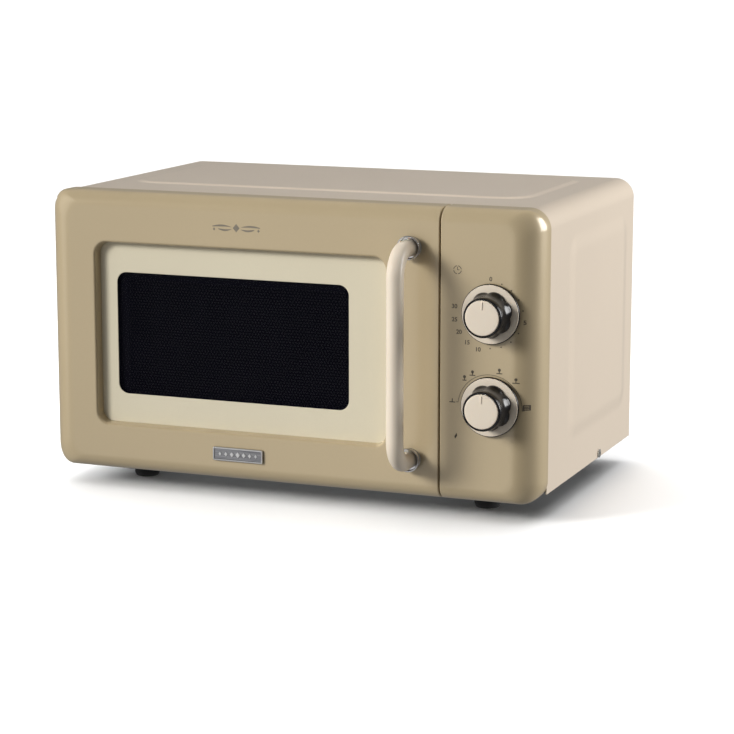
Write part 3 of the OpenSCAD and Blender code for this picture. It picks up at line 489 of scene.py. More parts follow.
def tube(bm, path, radius, sides):
    """Round tube along a path of points, with flat ends."""
    rings = []
    side = None
    for i, point in enumerate(path):
        ahead = (path[min(i + 1, len(path) - 1)] - path[max(i - 1, 0)]).normalized()
        if side is None:
            side = ahead.orthogonal().normalized()
        side = (side - ahead * side.dot(ahead)).normalized()
        other = ahead.cross(side)
        rings.append([point + radius * (cos(2 * pi * k / sides) * side
                                        + sin(2 * pi * k / sides) * other) for k in range(sides)])
    loops = skin(bm, rings)
    bm.faces.new(loops[0][::-1])
    bm.faces.new(loops[-1])


def box(bm, lo, hi, bevel):
    """Box between two corners with rounded edges."""
    lo, hi = Vector(lo), Vector(hi)
    place = Matrix.Translation((lo + hi) / 2) @ Matrix.Diagonal((*(hi - lo), 1.0))
    made = bmesh.ops.create_cube(bm, size=1.0, matrix=place)
    edges = list({edge for vert in made["verts"] for edge in vert.link_edges})
    bmesh.ops.bevel(bm, geom=edges, offset=bevel, segments=3, profile=0.5, affect="EDGES")


def to_mesh(name, bm):
    mesh = bpy.data.meshes.new(name)
    bm.to_mesh(mesh)
    bm.free()
    return mesh


def finished_mesh(obj):
    """New mesh of an object's shape with its modifiers applied, or of a line of text."""
    bpy.context.view_layer.update()
    return bpy.data.meshes.new_from_object(obj.evaluated_get(bpy.context.evaluated_depsgraph_get()))


def settle(obj):
    """Applies an object's modifiers."""
    done = finished_mesh(obj)
    obj.modifiers.clear()
    obj.data = done


def modify(obj, kind, **settings):
    """Adds a modifier."""
    with_settings(obj.modifiers.new(kind.lower(), kind), **settings)


def piece(name, bm, slot, body, stands_for=(), sharp=38, thickness=None, bevel=None, weighted=False,
          material=None):
    """Makes a piece from a bmesh, gives it its finish, and lets it ride on its body."""
    obj = add_object(name, to_mesh(name, bm))
    if thickness:
        modify(obj, "SOLIDIFY", thickness=thickness, offset=-1, use_even_offset=True,
               use_quality_normals=True)
    if bevel:
        modify(obj, "BEVEL", width=bevel, segments=3, limit_method="WEIGHT")
    if obj.modifiers:
        settle(obj)
    obj.data.materials.clear()
    obj.data.materials.append(material or MATERIALS[slot])
    obj.data.shade_smooth()
    obj.data.set_sharp_from_angle(angle=radians(sharp))
    if weighted:
        modify(obj, "WEIGHTED_NORMAL", keep_sharp=True, weight=80)
        settle(obj)
    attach(obj, body)
    if stands_for:
        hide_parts(*stands_for)
    return obj


# ---- front mouldings

SEAMS = (door_hi.x, panel_lo.x)
SHAFT_HOLE_R = 6 * MM
MOULDED = {"sharp": 30, "thickness": WALL, "bevel": 1.1 * MM, "weighted": True}


def front_ring(turn):
    """Ring of the pillow-edged front: 0 degrees at its side walls and 90 at its flat face."""
    run = 1 - cos(radians(turn))
    drop = 1 - sin(radians(turn))
    radius = CORNER_R + (FACE_R - CORNER_R) * run
    outline = rounded_rect(LEFT + SIDE_R * run, RIGHT - SIDE_R * run, BOTTOM + TOP_R * run,
                           TOP - TOP_R * run, radius, 14, SEAMS)
    return [Vector((x, FRONT + drop * (SIDE_R + (TOP_R - SIDE_R) * share), z)) for x, z, share in outline]


def face_ring(inset):
    """Ring on the flat face, inset from its edge."""
    outline = rounded_rect(LEFT + SIDE_R + inset, RIGHT - SIDE_R - inset, BOTTOM + TOP_R + inset,
                           TOP - TOP_R - inset, FACE_R - inset, 14, SEAMS)
    return [Vector((x, FRONT, z)) for x, z, _ in outline]


def wall_ring(depth, swing):
    """Ring of the side walls at a depth. With swing, its left edge follows the door's turning circle."""
    outline = rounded_rect(LEFT, RIGHT, BOTTOM, TOP, CORNER_R, 14, SEAMS)
    least = LEFT
    if swing:
        least = PIVOT.x - sqrt(SWING_R ** 2 - (FRONT + depth - PIVOT.y) ** 2)
    return [Vector((max(x, least), FRONT + depth, z)) for x, z, _ in outline]


def grown(rect, r, grow, steps):
    """Rounded rectangle grown or shrunk on every side, with its corners' radius."""
    u0, u1, v0, v1 = rect
    return rounded_rect(u0 - grow, u1 + grow, v0 - grow, v1 + grow, max(0.3 * MM, r + grow), steps)


def rect_ring(rect, r, grow, depth, steps=12):
    """Rounded rectangle on the front, grown or shrunk, at a depth."""
    return [Vector((x, FRONT + depth, z)) for x, z, _ in grown(rect, r, grow, steps)]


def front_part(seam, keep_left, depths, swing):
    """The front's skin on one side of a seam, with the seam's flat end wall."""
    bm = bmesh.new()
    turns = [90 - 6 * i for i in range(16)]
    rings = [face_ring(1.2 * MM)] + [front_ring(t) for t in turns] + [wall_ring(d, swing) for d in depths]
    skin(bm, rings)
    bmesh.ops.bisect_plane(bm, geom=bm.verts[:] + bm.edges[:] + bm.faces[:], dist=1e-6,
                           plane_co=(seam, 0, 0), plane_no=(1, 0, 0),
                           clear_outer=keep_left, clear_inner=not keep_left)
    tidy(bm)
    on_seam = [v for v in bm.verts if abs(v.co.x - seam) < 1e-6]
    half = (BOTTOM + TOP) / 2
    upper = sorted([v for v in on_seam if v.co.z > half], key=lambda v: (-round(v.co.y, 7), -v.co.z))
    lower = sorted([v for v in on_seam if v.co.z < half], key=lambda v: (round(v.co.y, 7), -v.co.z))
    wall = bm.faces.new(upper + lower)
    weights = bm.edges.layers.float.new("bevel_weight_edge")
    back = FRONT + depths[-1] - 1e-6
    for edge in wall.edges:
        if not all(v.co.y > back for v in edge.verts):
            edge[weights] = 1.0
    return bm


def fill_face(bm):
    """Closes the flat face between its outer ring and whatever rings lie within it."""
    def on_face(part):
        return all(abs(v.co.y - FRONT) < 1e-7 for v in part.verts)

    rim = [e for e in bm.edges if len(e.link_faces) < 2 and on_face(e)]
    bmesh.ops.triangle_fill(bm, use_beauty=True, edges=rim)
    bmesh.ops.recalc_face_normals(bm, faces=bm.faces[:])
    flat = max((f for f in bm.faces if on_face(f)), key=lambda f: f.calc_area())
    if flat.normal.y > 0:
        bmesh.ops.reverse_faces(bm, faces=bm.faces[:])


def notch(bm, low, high):
    """Opens the door's left wall from behind, where a hinge tab comes through."""
    start = PIVOT.y - 3.8 * MM
    for place, along in (((0, 0, low), (0, 0, 1)), ((0, 0, high), (0, 0, 1)), ((0, start, 0), (0, 1, 0))):
        near = [f for f in bm.faces if all(v.co.x < LEFT + 26 * MM for v in f.verts)]
        edges = {e for f in near for e in f.edges}
        verts = {v for f in near for v in f.verts}
        bmesh.ops.bisect_plane(bm, geom=[*verts, *edges, *near], dist=1e-6, plane_co=place, plane_no=along)
    cut = []
    for face in bm.faces:
        middle_point = face.calc_center_median()
        if middle_point.x < PIVOT.x + 3.8 * MM and middle_point.y > start and low < middle_point.z < high:
            cut.append(face)
    bmesh.ops.delete(bm, geom=cut, context="FACES")


def door_moulding():
    """The door's front, with the recess for the window and the openings for the hinge tabs."""
    depth = door_hi.y - FRONT
    bm = front_part(door_hi.x, True, [24.5 * MM, 25.3 * MM, 26 * MM, 26.7 * MM, depth], True)
    lip = 2.2 * MM
    draft = 1.1 * MM
    bottom = border_lo.y - FRONT - 0.02 * MM
    rings = [rect_ring(RECESS, RECESS_R, lip + 1.2 * MM, 0)]
    rings += [rect_ring(RECESS, RECESS_R, lip * (1 - sin(a)), lip * (1 - cos(a))) for a in sweep(0, 90, 6)]
    rings.append(rect_ring(RECESS, RECESS_R, -draft * 0.5, (lip + bottom) / 2))
    rings.append(rect_ring(RECESS, RECESS_R, -draft, bottom))
    skin(bm, rings)
    fill_face(bm)
    for tab_z in TABS:
        notch(bm, tab_z - 0.8 * MM, tab_z + 2.8 * MM)
    piece("door_moulding", bm, "beige_moulding", "door", ["door_frame"], **MOULDED)


def panel_moulding():
    """The control panel's front, with a hole for each dial's shaft."""
    depth = panel_hi.y - FRONT
    bm = front_part(panel_lo.x, False, [24.5 * MM, 26 * MM, depth], False)
    for span in DIALS.values():
        centre = middle(span)
        bmesh.ops.create_circle(bm, cap_ends=False, radius=SHAFT_HOLE_R, segments=32,
                                matrix=outwards(centre.x, centre.z))
    fill_face(bm)
    piece("panel_moulding", bm, "beige_moulding", "oven", ["control_panel"], **MOULDED)


# ---- window


def window_frame():
    """Cream border printed round the window, with a rounded inner edge."""
    front, back = border_lo.y - FRONT, border_hi.y - FRONT
    bm = bmesh.new()
    outer = (RECESS, RECESS_R)
    inner = (WINDOW, WINDOW_R)
    rings = [rect_ring(*outer, -0.2 * MM, back), rect_ring(*outer, -0.2 * MM, front),
             rect_ring(*outer, -1.6 * MM, front), rect_ring(*inner, 1.2 * MM, front)]
    edge = 0.36 * MM
    rings += [rect_ring(*inner, edge * (1 - sin(a)), front + edge * (1 - cos(a))) for a in sweep(0, 90, 4)]
    rings.append(rect_ring(*inner, 0, back))
    skin(bm, rings, join_ends=True)
    tidy(bm)
    piece("printed_border", bm, "border_print", "door", ["window_border"], weighted=True)


def perforated_screen():
    """Perforated sheet with staggered round holes and a plain margin."""
    pitch = 2.9 * MM
    row = pitch * sqrt(3) / 2
    radius = 1.05 * MM
    sides = 8
    x0, x1, z0, z1 = screen_lo.x, screen_hi.x, screen_lo.z, screen_hi.z
    start_x, start_z = WINDOW[0] + 8 * MM, WINDOW[2] + 0.5 * MM
    columns = int((WINDOW[1] + 3 * MM - start_x) / pitch)
    rows = int((WINDOW[3] - 5 * MM - start_z) / row)
    front = screen_lo.y + 0.05 * MM
    bm = bmesh.new()
    rim = {}

    def corner(x, z):
        key = (round(x / (0.01 * MM)), round(z / (0.01 * MM)))
        if key not in rim:
            rim[key] = bm.verts.new((x, front, z))
        return rim[key]

    def cell(cx, cz):
        half, high = pitch / 2, row / 2
        square = [(half, 0), (half, high), (0, high), (-half, high), (-half, 0), (-half, -high), (0, -high),
                  (half, -high)]
        edge = [corner(cx + dx, cz + dz) for dx, dz in square]
        hole = []
        for k in range(sides):
            a = 2 * pi * k / sides
            hole.append(bm.verts.new((cx + radius * cos(a), front, cz + radius * sin(a))))
        for k in range(sides):
            n = (k + 1) % sides
            bm.faces.new((edge[k], edge[n], hole[n], hole[k]))

    for j in range(rows):
        shift = pitch / 2 if j % 2 else 0.0
        for i in range(columns):
            cell(start_x + pitch * (i + 0.5) + shift, start_z + row * (j + 0.5))
    bmesh.ops.remove_doubles(bm, verts=bm.verts[:], dist=0.02 * MM)
    left, right = start_x, start_x + columns * pitch + pitch / 2
    behind = front + 0.02 * MM
    for lo_x, hi_x, lo_z, hi_z in ((x0, left + pitch / 2, z0, z1), (right - pitch / 2, x1, z0, z1),
                                   (left, right, z0, start_z), (left, right, start_z + rows * row, z1)):
        outline = ((lo_x, lo_z), (hi_x, lo_z), (hi_x, hi_z), (lo_x, hi_z))
        bm.faces.new([bm.verts.new((x, behind, z)) for x, z in outline])
    face_out(bm)
    piece("perforated_screen", bm, "screen_steel", "door", ["door_screen"], thickness=0.5 * MM)


# ---- handle

BAR_R = (handle_hi.x - handle_lo.x) / 2
BAR_X = (handle_lo.x + handle_hi.x) / 2
BAR_FEET = (handle_lo.z + BAR_R, handle_hi.z - BAR_R)
BEND_R = 22 * MM


def handle_bar():
    """Round bar with two quarter bends, ending in the ferrules."""
    y = handle_lo.y + BAR_R
    foot = handle_hi.y
    path = []
    for z, way in zip(BAR_FEET, (1, -1)):
        run = [Vector((BAR_X, foot, z)), Vector((BAR_X, foot - 3 * MM, z))]
        for a in sweep(0, 90, 16):
            run.append(Vector((BAR_X, y + BEND_R - BEND_R * sin(a), z + way * BEND_R * (1 - cos(a)))))
        path += run[::way]
    bm = bmesh.new()
    tube(bm, path, BAR_R, 40)
    tidy(bm)
    piece("handle_bar", bm, "cream_plastic", "door", ["door_handle"], 50)


def ferrules():
    """Chrome sockets round the handle's ends: a thin foot, a waist, and a flared rim clear of the bar.
    Each step is (distance beyond the bar, height, rounding)."""
    steps = mm((0.1, 0, 0), (1.9, 0, 0.2), (1.9, 0.9, 0.3), (1.5, 1.2, 0.3), (1.6, 4.0, 2.0),
               (2.9, 6.2, 0.6), (2.9, 7.9, 0.7), (1.5, 7.9, 0.6), (1.3, 4.5, 0.2), (0.1, 4.5, 0),
               (0.1, 0, 0))
    profile = fillet([(BAR_R + beyond, height, rounding) for beyond, height, rounding in steps])
    bm = bmesh.new()
    for z in BAR_FEET:
        lathe(bm, profile, outwards(BAR_X, z), 64)
    tidy(bm)
    piece("chrome_ferrules", bm, "chrome_trim", "door", ["handle_ferrules"], 50)


# ---- badge and ornament


def lozenge(bm, cx, cz, half_x, half_z, base, rise, top=0.45):
    """Four-sided raised mark on the front. top is the flat top's share of its size."""
    corners = [(half_x, 0), (0, half_z), (-half_x, 0), (0, -half_z)]
    low = [bm.verts.new((cx + dx, FRONT + base, cz + dz)) for dx, dz in corners]
    high = [bm.verts.new((cx + dx * top, FRONT + base - rise, cz + dz * top)) for dx, dz in corners]
    for i in range(4):
        k = (i + 1) % 4
        bm.faces.new((low[i], low[k], high[k], high[i]))
    bm.faces.new(high)
    bm.faces.new(low[::-1])


def badge_plate():
    """Silver plate with a raised rounded border and a row of plain lozenges."""
    rect = (badge_lo.x, badge_hi.x, badge_lo.z, badge_hi.z)
    thick = badge_hi.y - badge_lo.y
    base = badge_hi.y - FRONT
    r = 1.5 * MM
    bm = bmesh.new()
    sunk = 0.85 * MM
    rise = ((0, 0.6), (-0.2, 0.15), (-0.6, 0), (-1.2, 0), (-1.5, 0.2), (-1.7, 0.8))
    steps = [(0, 0)] + [(grow, -thick + depth) for grow, depth in mm(*rise)] + [(-2.1 * MM, -thick + sunk)]
    loops = skin(bm, [rect_ring(rect, r, grow, base + depth, 6) for grow, depth in steps])
    bm.faces.new(loops[-1])
    bm.faces.new(loops[0][::-1])
    cx, cz = (badge_lo.x + badge_hi.x) / 2, (badge_lo.z + badge_hi.z) / 2
    floor = base - thick + sunk
    for i in range(-3, 4):
        size = 1.0 - 0.12 * abs(i)
        lozenge(bm, cx + i * 5.6 * MM, cz, 2.5 * MM * size, 3.1 * MM * size, floor, 0.5 * MM, 0.8)
    tidy(bm)
    piece("badge_plate", bm, "badge_metal", "door", ["badge"], 30)


def door_ornament():
    """Plain flourish above the window: a lozenge between two pairs of tapering strokes."""
    bm = bmesh.new()
    cx = (RECESS[0] + RECESS[1]) / 2
    cz = 236.4 * MM
    rise = 0.12 * MM
    lozenge(bm, cx, cz, 3.2 * MM, 3.6 * MM, 0, rise)
    for side in (-1, 1):
        for level, length, start in ((0.9, 17.5, 4.6), (-1.1, 12.5, 4.2)):
            low, high = [], []
            for i in range(13):
                t = i / 12
                x = cx + side * (start + length * t) * MM
                z = cz + (level + 1.3 * level * sin(pi * t) * 0.7) * MM
                half = 0.75 * MM * sin(pi * (0.1 + 0.9 * (1 - t))) + 0.08 * MM
                low.append(Vector((x, FRONT - rise, z - half)))
                high.append(Vector((x, FRONT - rise, z + half)))
            back_low = [Vector((p.x, FRONT, p.z)) for p in low]
            back_high = [Vector((p.x, FRONT, p.z)) for p in high]
            rings = [list(ring) for ring in zip(low, high, back_high, back_low)]
            loops = skin(bm, rings)
            bm.faces.new(loops[0])
            bm.faces.new(loops[-1])
        lozenge(bm, cx + side * 20.6 * MM, cz - 1.6 * MM, 1.2 * MM, 1.4 * MM, 0, rise)
    tidy(bm)
    piece("door_ornament", bm, "badge_metal", "door", material=ORNAMENT)


# ---- dials

# The grip has lobes of LOBE_R whose centres lie LOBE_OUT from its axis. REACH is its height off the panel.
LOBES = 7
LOBE_R = 9.6 * MM
LOBE_OUT = 9.8 * MM
FLANGE_R = 25 * MM
COLLAR_R = 16.4 * MM
GAP = 1.5 * MM
FLANGE = 2 * MM
REACH = 24.5 * MM


def lobed_radius(angle):
    """Outline of the grip's foot: round lobes that meet in sharp notches."""
    step = 2 * pi / LOBES
    first = pi / 2 - 0.4 * step
    off = (angle - first + step / 2) % step - step / 2
    return LOBE_OUT * cos(off) + sqrt(LOBE_R ** 2 - (LOBE_OUT * sin(off)) ** 2)


def grip_radius(angle, r, h):
    """Radius of the grip. A negative r is a share: 0 is the lobed foot and -1 the round collar."""
    if r >= 0:
        return r
    lobe = lobed_radius(angle)
    return lobe - (COLLAR_R - lobe) * r


def dial(name, body, span):
    """Grip, cream ring and cap of one dial."""
    centre = middle(span)
    place = outwards(centre.x, centre.z)
    base = GAP + FLANGE
    rim = REACH - 0.8 * MM
    hub = 4 * MM
    profile = [(hub, GAP), (FLANGE_R - 0.4 * MM, GAP), (FLANGE_R, GAP + 0.4 * MM),
               (FLANGE_R, base - 0.5 * MM), (FLANGE_R - 0.15 * MM, base - 0.15 * MM),
               (FLANGE_R - 0.5 * MM, base), (21 * MM, base)]
    low, high = base + 2.6 * MM, base + 11.5 * MM
    profile += [(-1e-6, base), (-1e-6, base + 1.2 * MM), (-1e-6, low - 0.4 * MM), (-0.03, low)]
    for i in range(1, 13):
        t = i / 12
        profile.append((-(1 - (1 - t) ** 2.2), low + (high - low) * t))
    well = 14.8 * MM
    profile += [(COLLAR_R, high + 1.5 * MM), (COLLAR_R, rim - 0.7 * MM),
                (COLLAR_R - 0.2 * MM, rim - 0.2 * MM), (COLLAR_R - 0.7 * MM, rim), (well + 0.3 * MM, rim),
                (well, rim - 0.3 * MM), (well, rim - 1.6 * MM), (hub, rim - 1.6 * MM), (hub, GAP)]
    bm = bmesh.new()
    lathe(bm, profile, place, 210, grip_radius)
    tidy(bm)
    piece(name + "_dial_grip", bm, "gloss_black", body, [name + "_grip"], 34)

    bm = bmesh.new()
    ring = fillet([(17 * MM, base, 0), (24.3 * MM, base, 0), (24.3 * MM, base + 0.8 * MM, 0.35 * MM),
                   (17 * MM, base + 0.8 * MM, 0.2 * MM), (17 * MM, base, 0)], 4)
    lathe(bm, ring, place, 120)
    tidy(bm)
    piece(name + "_dial_ring", bm, "cream_plastic", body, [name + "_ring"], 50)

    bm = bmesh.new()
    cap = [(0, REACH - 2.3 * MM), (14.4 * MM, REACH - 2.3 * MM), (14.5 * MM, REACH - 0.9 * MM)]
    for a in sweep(0, 90, 5)[1:]:
        cap.append((13.7 * MM + 0.8 * MM * cos(a), REACH - 0.95 * MM + 0.8 * MM * sin(a)))
    cap += [(12 * MM, REACH - 0.07 * MM), (7 * MM, REACH - 0.02 * MM), (0, REACH)]
    lathe(bm, cap, place, 96)
    tidy(bm)
    lo = (centre.x - 0.6 * MM, FRONT - REACH - 0.4 * MM, centre.z + 7.0 * MM)
    hi = (centre.x + 0.6 * MM, FRONT - REACH + 0.3 * MM, centre.z + 13.0 * MM)
    box(bm, lo, hi, 0.18 * MM)
    piece(name + "_dial_cap", bm, "cream_plastic", body, [name + "_cap"], 50)


# ---- printed scales

INK_LIFT = 0.07 * MM


def panel_depth(x):
    """Depth of the control panel's surface at x, beyond the flat face."""
    over = x - (RIGHT - SIDE_R)
    return SIDE_R - sqrt(SIDE_R ** 2 - over ** 2) if over > 0 else 0.0


def on_panel(x, z):
    return Vector((x, FRONT + panel_depth(x) - INK_LIFT, z))


def print_outline(bm, points):
    """Flat patch of ink with these (x, z) corners, given all the way round."""
    bm.faces.new([bm.verts.new(on_panel(x, z)) for x, z in points])


def print_arc(bm, cx, cz, radius, start, end, width):
    """Arc of ink; angles run clockwise from the top, in degrees."""
    count = max(2, int(abs(end - start) / 4))
    inner, outer = [], []
    for a in sweep(start, end, count):
        for row, r in ((inner, radius - width / 2), (outer, radius + width / 2)):
            row.append(bm.verts.new(on_panel(cx + r * sin(a), cz + r * cos(a))))
    for i in range(count):
        bm.faces.new((inner[i], inner[i + 1], outer[i + 1], outer[i]))


def print_dot(bm, x, z, r):
    angles = [pi * k / 8 for k in range(16)]
    print_outline(bm, [(x + r * cos(a), z + r * sin(a)) for a in angles])


def print_bars(bm, x, z, *bars):
    """Small bars of ink near x and z, each given in mm as its middle and half its size. They are cut into
    strips so that they follow the curved edge of the panel."""
    for dx, dz, half_x, half_z in mm(*bars):
        strips = max(1, round(half_x / (0.8 * MM)))
        low, high = z + dz - half_z, z + dz + half_z
        for i in range(strips):
            x0 = x + dx - half_x + 2 * half_x * i / strips
            x1 = x + dx - half_x + 2 * half_x * (i + 1) / strips
            print_outline(bm, [(x0, low), (x1, low), (x1, high), (x0, high)])


def print_number(bm, text, x, z, height):
    """Number with its middle at x and z."""
    curve = with_settings(bpy.data.curves.new("number", "FONT"), body=text, size=height * 1.35,
                          align_x="CENTER", align_y="CENTER", offset=0.1 * MM)
    holder = add_object("number", curve)
    mesh = finished_mesh(holder)
    verts = [bm.verts.new(on_panel(x + v.co.x, z + v.co.y)) for v in mesh.vertices]
    for polygon in mesh.polygons:
        bm.faces.new([verts[i] for i in polygon.vertices])
    bpy.data.objects.remove(holder)


def round_about(centre, angle, radius):
    a = radians(angle)
    return centre.x + radius * sin(a), centre.z + radius * cos(a)


def scale_centre(span):
    """Middle of a printed scale, which sits a little left of and below its dial's axis."""
    return middle(span) + Vector((-0.9 * MM, 0, -1.1 * MM))


def timer_scale():
    """Minutes round the upper dial, and a small clock."""
    centre = scale_centre(DIALS["timer"])
    bm = bmesh.new()
    for angle, text, radius in ((0, "0", 29.5), (100, "5", 29.3), (200, "10", 31), (220, "15", 31.2),
                                (240, "20", 31.2), (260, "25", 31.4), (280, "30", 31.6)):
        x, z = round_about(centre, angle, radius * MM)
        print_number(bm, text, x, z, 3.7 * MM)
    for angle in (20, 40, 60, 80, 120, 140, 160, 180):
        x, z = round_about(centre, angle, 27.6 * MM)
        print_dot(bm, x, z, 0.6 * MM)
    clock_x, clock_z = centre.x - 28.7 * MM, centre.z + 35.8 * MM
    for start in (8, 98, 188, 278):
        print_arc(bm, clock_x, clock_z, 3.3 * MM, start, start + 74, 0.6 * MM)
    print_bars(bm, clock_x, clock_z, (0, 1.1, 0.3, 1.4), (0.9, 0, 0.8, 0.28))
    face_out(bm)
    piece("timer_scale", bm, "black_plastic", "oven", material=INK)


def power_scale():
    """Power settings round the lower dial: an arc and small plain signs."""
    centre = scale_centre(DIALS["power"])
    bm = bmesh.new()
    print_arc(bm, centre.x, centre.z, 27.5 * MM, -84, 92, 0.4 * MM)
    for angle in (-84, 92):
        x, z = round_about(centre, angle, 28.3 * MM)
        print_bars(bm, x, z, (0, 0, 1.0, 0.25))
    for dx, dz, wide in ((-22.0, 23.2, 1.8), (-15.1, 27.7, 2.5), (8.1, 30.7, 2.5), (22.3, 23.6, 3.0)):
        x, z = centre.x + dx * MM, centre.z + dz * MM
        print_dot(bm, x, z + 1.3 * MM, 1.3 * MM)
        print_bars(bm, x, z, (0, -0.3, 0.4, 0.9), (0, -1.6, wide, 0.4))
    print_bars(bm, centre.x - 32.5 * MM, centre.z + 2.6 * MM, (0, 0, 2.6, 0.4), (0, 1.7, 0.4, 1.4))
    rungs = [(0, height, 2.9, 0.42) for height in (-1.9, -0.65, 0.6, 1.85)]
    rails = [(aside, 0, 0.5, 2.2) for aside in (-2.4, 2.4)]
    print_bars(bm, centre.x + 30.8 * MM, centre.z + 1.6 * MM, *rungs, *rails)
    bolt_x, bolt_z = centre.x - 29.2 * MM, centre.z - 25.9 * MM
    zigzag = [(0.4, 2.4), (-1.2, -0.2), (-0.1, -0.2), (-0.6, -2.4), (1.2, 0.4), (0.1, 0.4), (1.0, 2.4)]
    print_outline(bm, [(bolt_x + dx * MM, bolt_z + dz * MM) for dx, dz in zigzag])
    bmesh.ops.triangulate(bm, faces=bm.faces[:])
    face_out(bm)
    piece("power_scale", bm, "black_plastic", "oven", material=INK)


# ---- cabinet

SHEET = 1 * MM
RAISE = 1.2 * MM
ARCH_R = 16.8 * MM
ROLL_R = 2 * MM
REAR_FLANGE = 12 * MM
cabinet_wall = cabinet_hi.x - RAISE
cabinet_top = cabinet_hi.z - RAISE

# Fields pressed into the top and the sides: outline, corner radius and width of the ramp round it.
TOP_FIELD = ((-192 * MM, 187 * MM, FRONT + 85 * MM, FRONT + 262 * MM), 30 * MM, 7 * MM)
SIDE_FIELD = ((FRONT + 84 * MM, FRONT + 262 * MM, 54 * MM, 233 * MM), 20 * MM, 16 * MM)


def embossed(bm, to_3d, rect, field, r, ramp):
    """Flat wall with a field pressed outwards over a ramp round it. to_3d(u, v, h) places a point,
    rect and field are (u0, u1, v0, v1)."""
    u0, u1, v0, v1 = rect
    corners = [bm.verts.new(to_3d(u, v, 0)) for u, v in ((u0, v0), (u1, v0), (u1, v1), (u0, v1))]
    edges = [bm.edges.new((corners[i], corners[(i + 1) % 4])) for i in range(4)]
    profile = [(1.2 * MM, 0.0)] + [(-ramp * i / 10, RAISE * smoothstep(i / 10)) for i in range(11)]
    profile.append((-ramp - 1.2 * MM, RAISE))
    loops = skin(bm, [[to_3d(u, v, h) for u, v, _ in grown(field, r, grow, 18)] for grow, h in profile])
    count = len(loops[0])
    edges += [bm.edges.get((loops[0][i], loops[0][(i + 1) % count])) for i in range(count)]
    bmesh.ops.triangle_fill(bm, use_beauty=True, edges=edges)
    bm.faces.new(loops[-1])


def arch_path(inset):
    """Outline of the cabinet's wrap from its left foot over the top to its right foot."""
    half = cabinet_wall - inset
    top = cabinet_top - inset
    r = ARCH_R - inset
    points = [(-half, cabinet_lo.z)]
    for centre, start in ((-half + r, 180), (half - r, 90)):
        for a in sweep(start, start - 90, 16):
            points.append((centre + r * cos(a), top - r + r * sin(a)))
    points.append((half, cabinet_lo.z))
    return points


def cabinet_wrap():
    """Painted steel wrap: top and sides with pressed fields, and a flange rolled in at the back."""
    front, back = cabinet_lo.y, cabinet_hi.y
    roll = back - ROLL_R
    bm = bmesh.new()
    embossed(bm, lambda u, v, h: Vector((u, v, cabinet_top + h)),
             (-cabinet_wall + ARCH_R, cabinet_wall - ARCH_R, front, roll), *TOP_FIELD)
    for side in (-1, 1):
        embossed(bm, lambda u, v, h, s=side: Vector((s * (cabinet_wall + h), u, v)),
                 (front, roll, cabinet_lo.z, cabinet_top - ARCH_R), *SIDE_FIELD)
    path = arch_path(0)
    for i in [*range(1, 17), *range(18, 34)]:
        (xa, za), (xb, zb) = path[i], path[i + 1]
        corners = ((xa, front, za), (xb, front, zb), (xb, roll, zb), (xa, roll, za))
        bm.faces.new([bm.verts.new(corner) for corner in corners])
    rings = []
    for a in sweep(0, 90, 6):
        inset = ROLL_R * (1 - cos(a))
        rings.append([Vector((x, roll + ROLL_R * sin(a), z)) for x, z in arch_path(inset)])
    rings.append([Vector((x, back, z)) for x, z in arch_path(REAR_FLANGE)])
    skin(bm, rings, around=False)
    tidy(bm, 2e-6)
    bm.faces.ensure_lookup_table()
    highest = max(bm.faces, key=lambda f: f.calc_center_median().z)
    if highest.normal.z < 0:
        bmesh.ops.reverse_faces(bm, faces=bm.faces[:])
    piece("cabinet_wrap", bm, "cream_paint", "oven", ["outer_cabinet"], 30, SHEET, weighted=True)


# ---- feet, tray, spring


def feet():
    """Ribbed rubber feet."""
    bm = bmesh.new()
    reach = 13 * MM
    profile = fillet(mm((0, 0.8, 0), (6, 0.8, 0.3), (6.6, 0, 0.3), (10, 0, 0.8), (11.2, 3, 0.6),
                        (11.6, 9, 0), (10.9, 9.6, 0.2), (10.9, 10.6, 0.2), (11.9, 11.2, 0),
                        (12.6, 21.5, 0.5), (12.6, 22.95, 0.4), (0, 22.95, 0)), 4)
    for x in (feet_lo.x + reach, feet_hi.x - reach):
        for y in (feet_lo.y + reach, feet_hi.y - reach):
            lathe(bm, profile, upwards(x, y, 0), 56)
    tidy(bm)
    piece("ribbed_feet", bm, "black_rubber", "oven", ["rubber_feet"], 50)


def tray():
    """Pressed glass turntable with a raised rim and rings under its floor."""
    centre = middle((tray_lo, tray_hi))
    r = (tray_hi.x - tray_lo.x) / 2
    floor = tray_hi.z - 11 * MM
    profile = mm((0, 0.3), (8, 0.3), (9, 0), (24, 0), (25, 0.4), (62, 0.4), (63, 0), (70, 0), (71, 0.4),
                 (96, 0.4), (97.5, 0), (r / MM - 14.5, 0))
    for i in range(1, 9):
        t = i / 8
        profile.append((r - 14.5 * MM + 14.2 * MM * t, 9.6 * MM * t ** 1.25))
    profile += [(r, 10.2 * MM), (r - 0.2 * MM, 10.8 * MM), (r - 1 * MM, 11 * MM), (r - 3 * MM, 10.8 * MM)]
    for i in range(1, 9):
        t = i / 8
        profile.append((r - 3 * MM - 12 * MM * t, 10.8 * MM - 5.8 * MM * (1 - (1 - t) ** 1.6)))
    profile += [(60 * MM, 5 * MM), (0, 5 * MM)]
    bm = bmesh.new()
    lathe(bm, profile, upwards(centre.x, centre.y, floor), 128)
    for i in range(3):
        a = radians(60 + 120 * i)
        x, y = centre.x + 17 * MM * cos(a), centre.y + 17 * MM * sin(a)
        lug = fillet(mm((0, -5, 0), (4, -5, 1.2), (4, 0.6, 0), (0, 0.6, 0)), 4)
        lathe(bm, lug, upwards(x, y, floor), 24)
    tidy(bm)
    piece("turntable_glass", bm, "tray_glass", "tray", ["glass_tray"], 40)


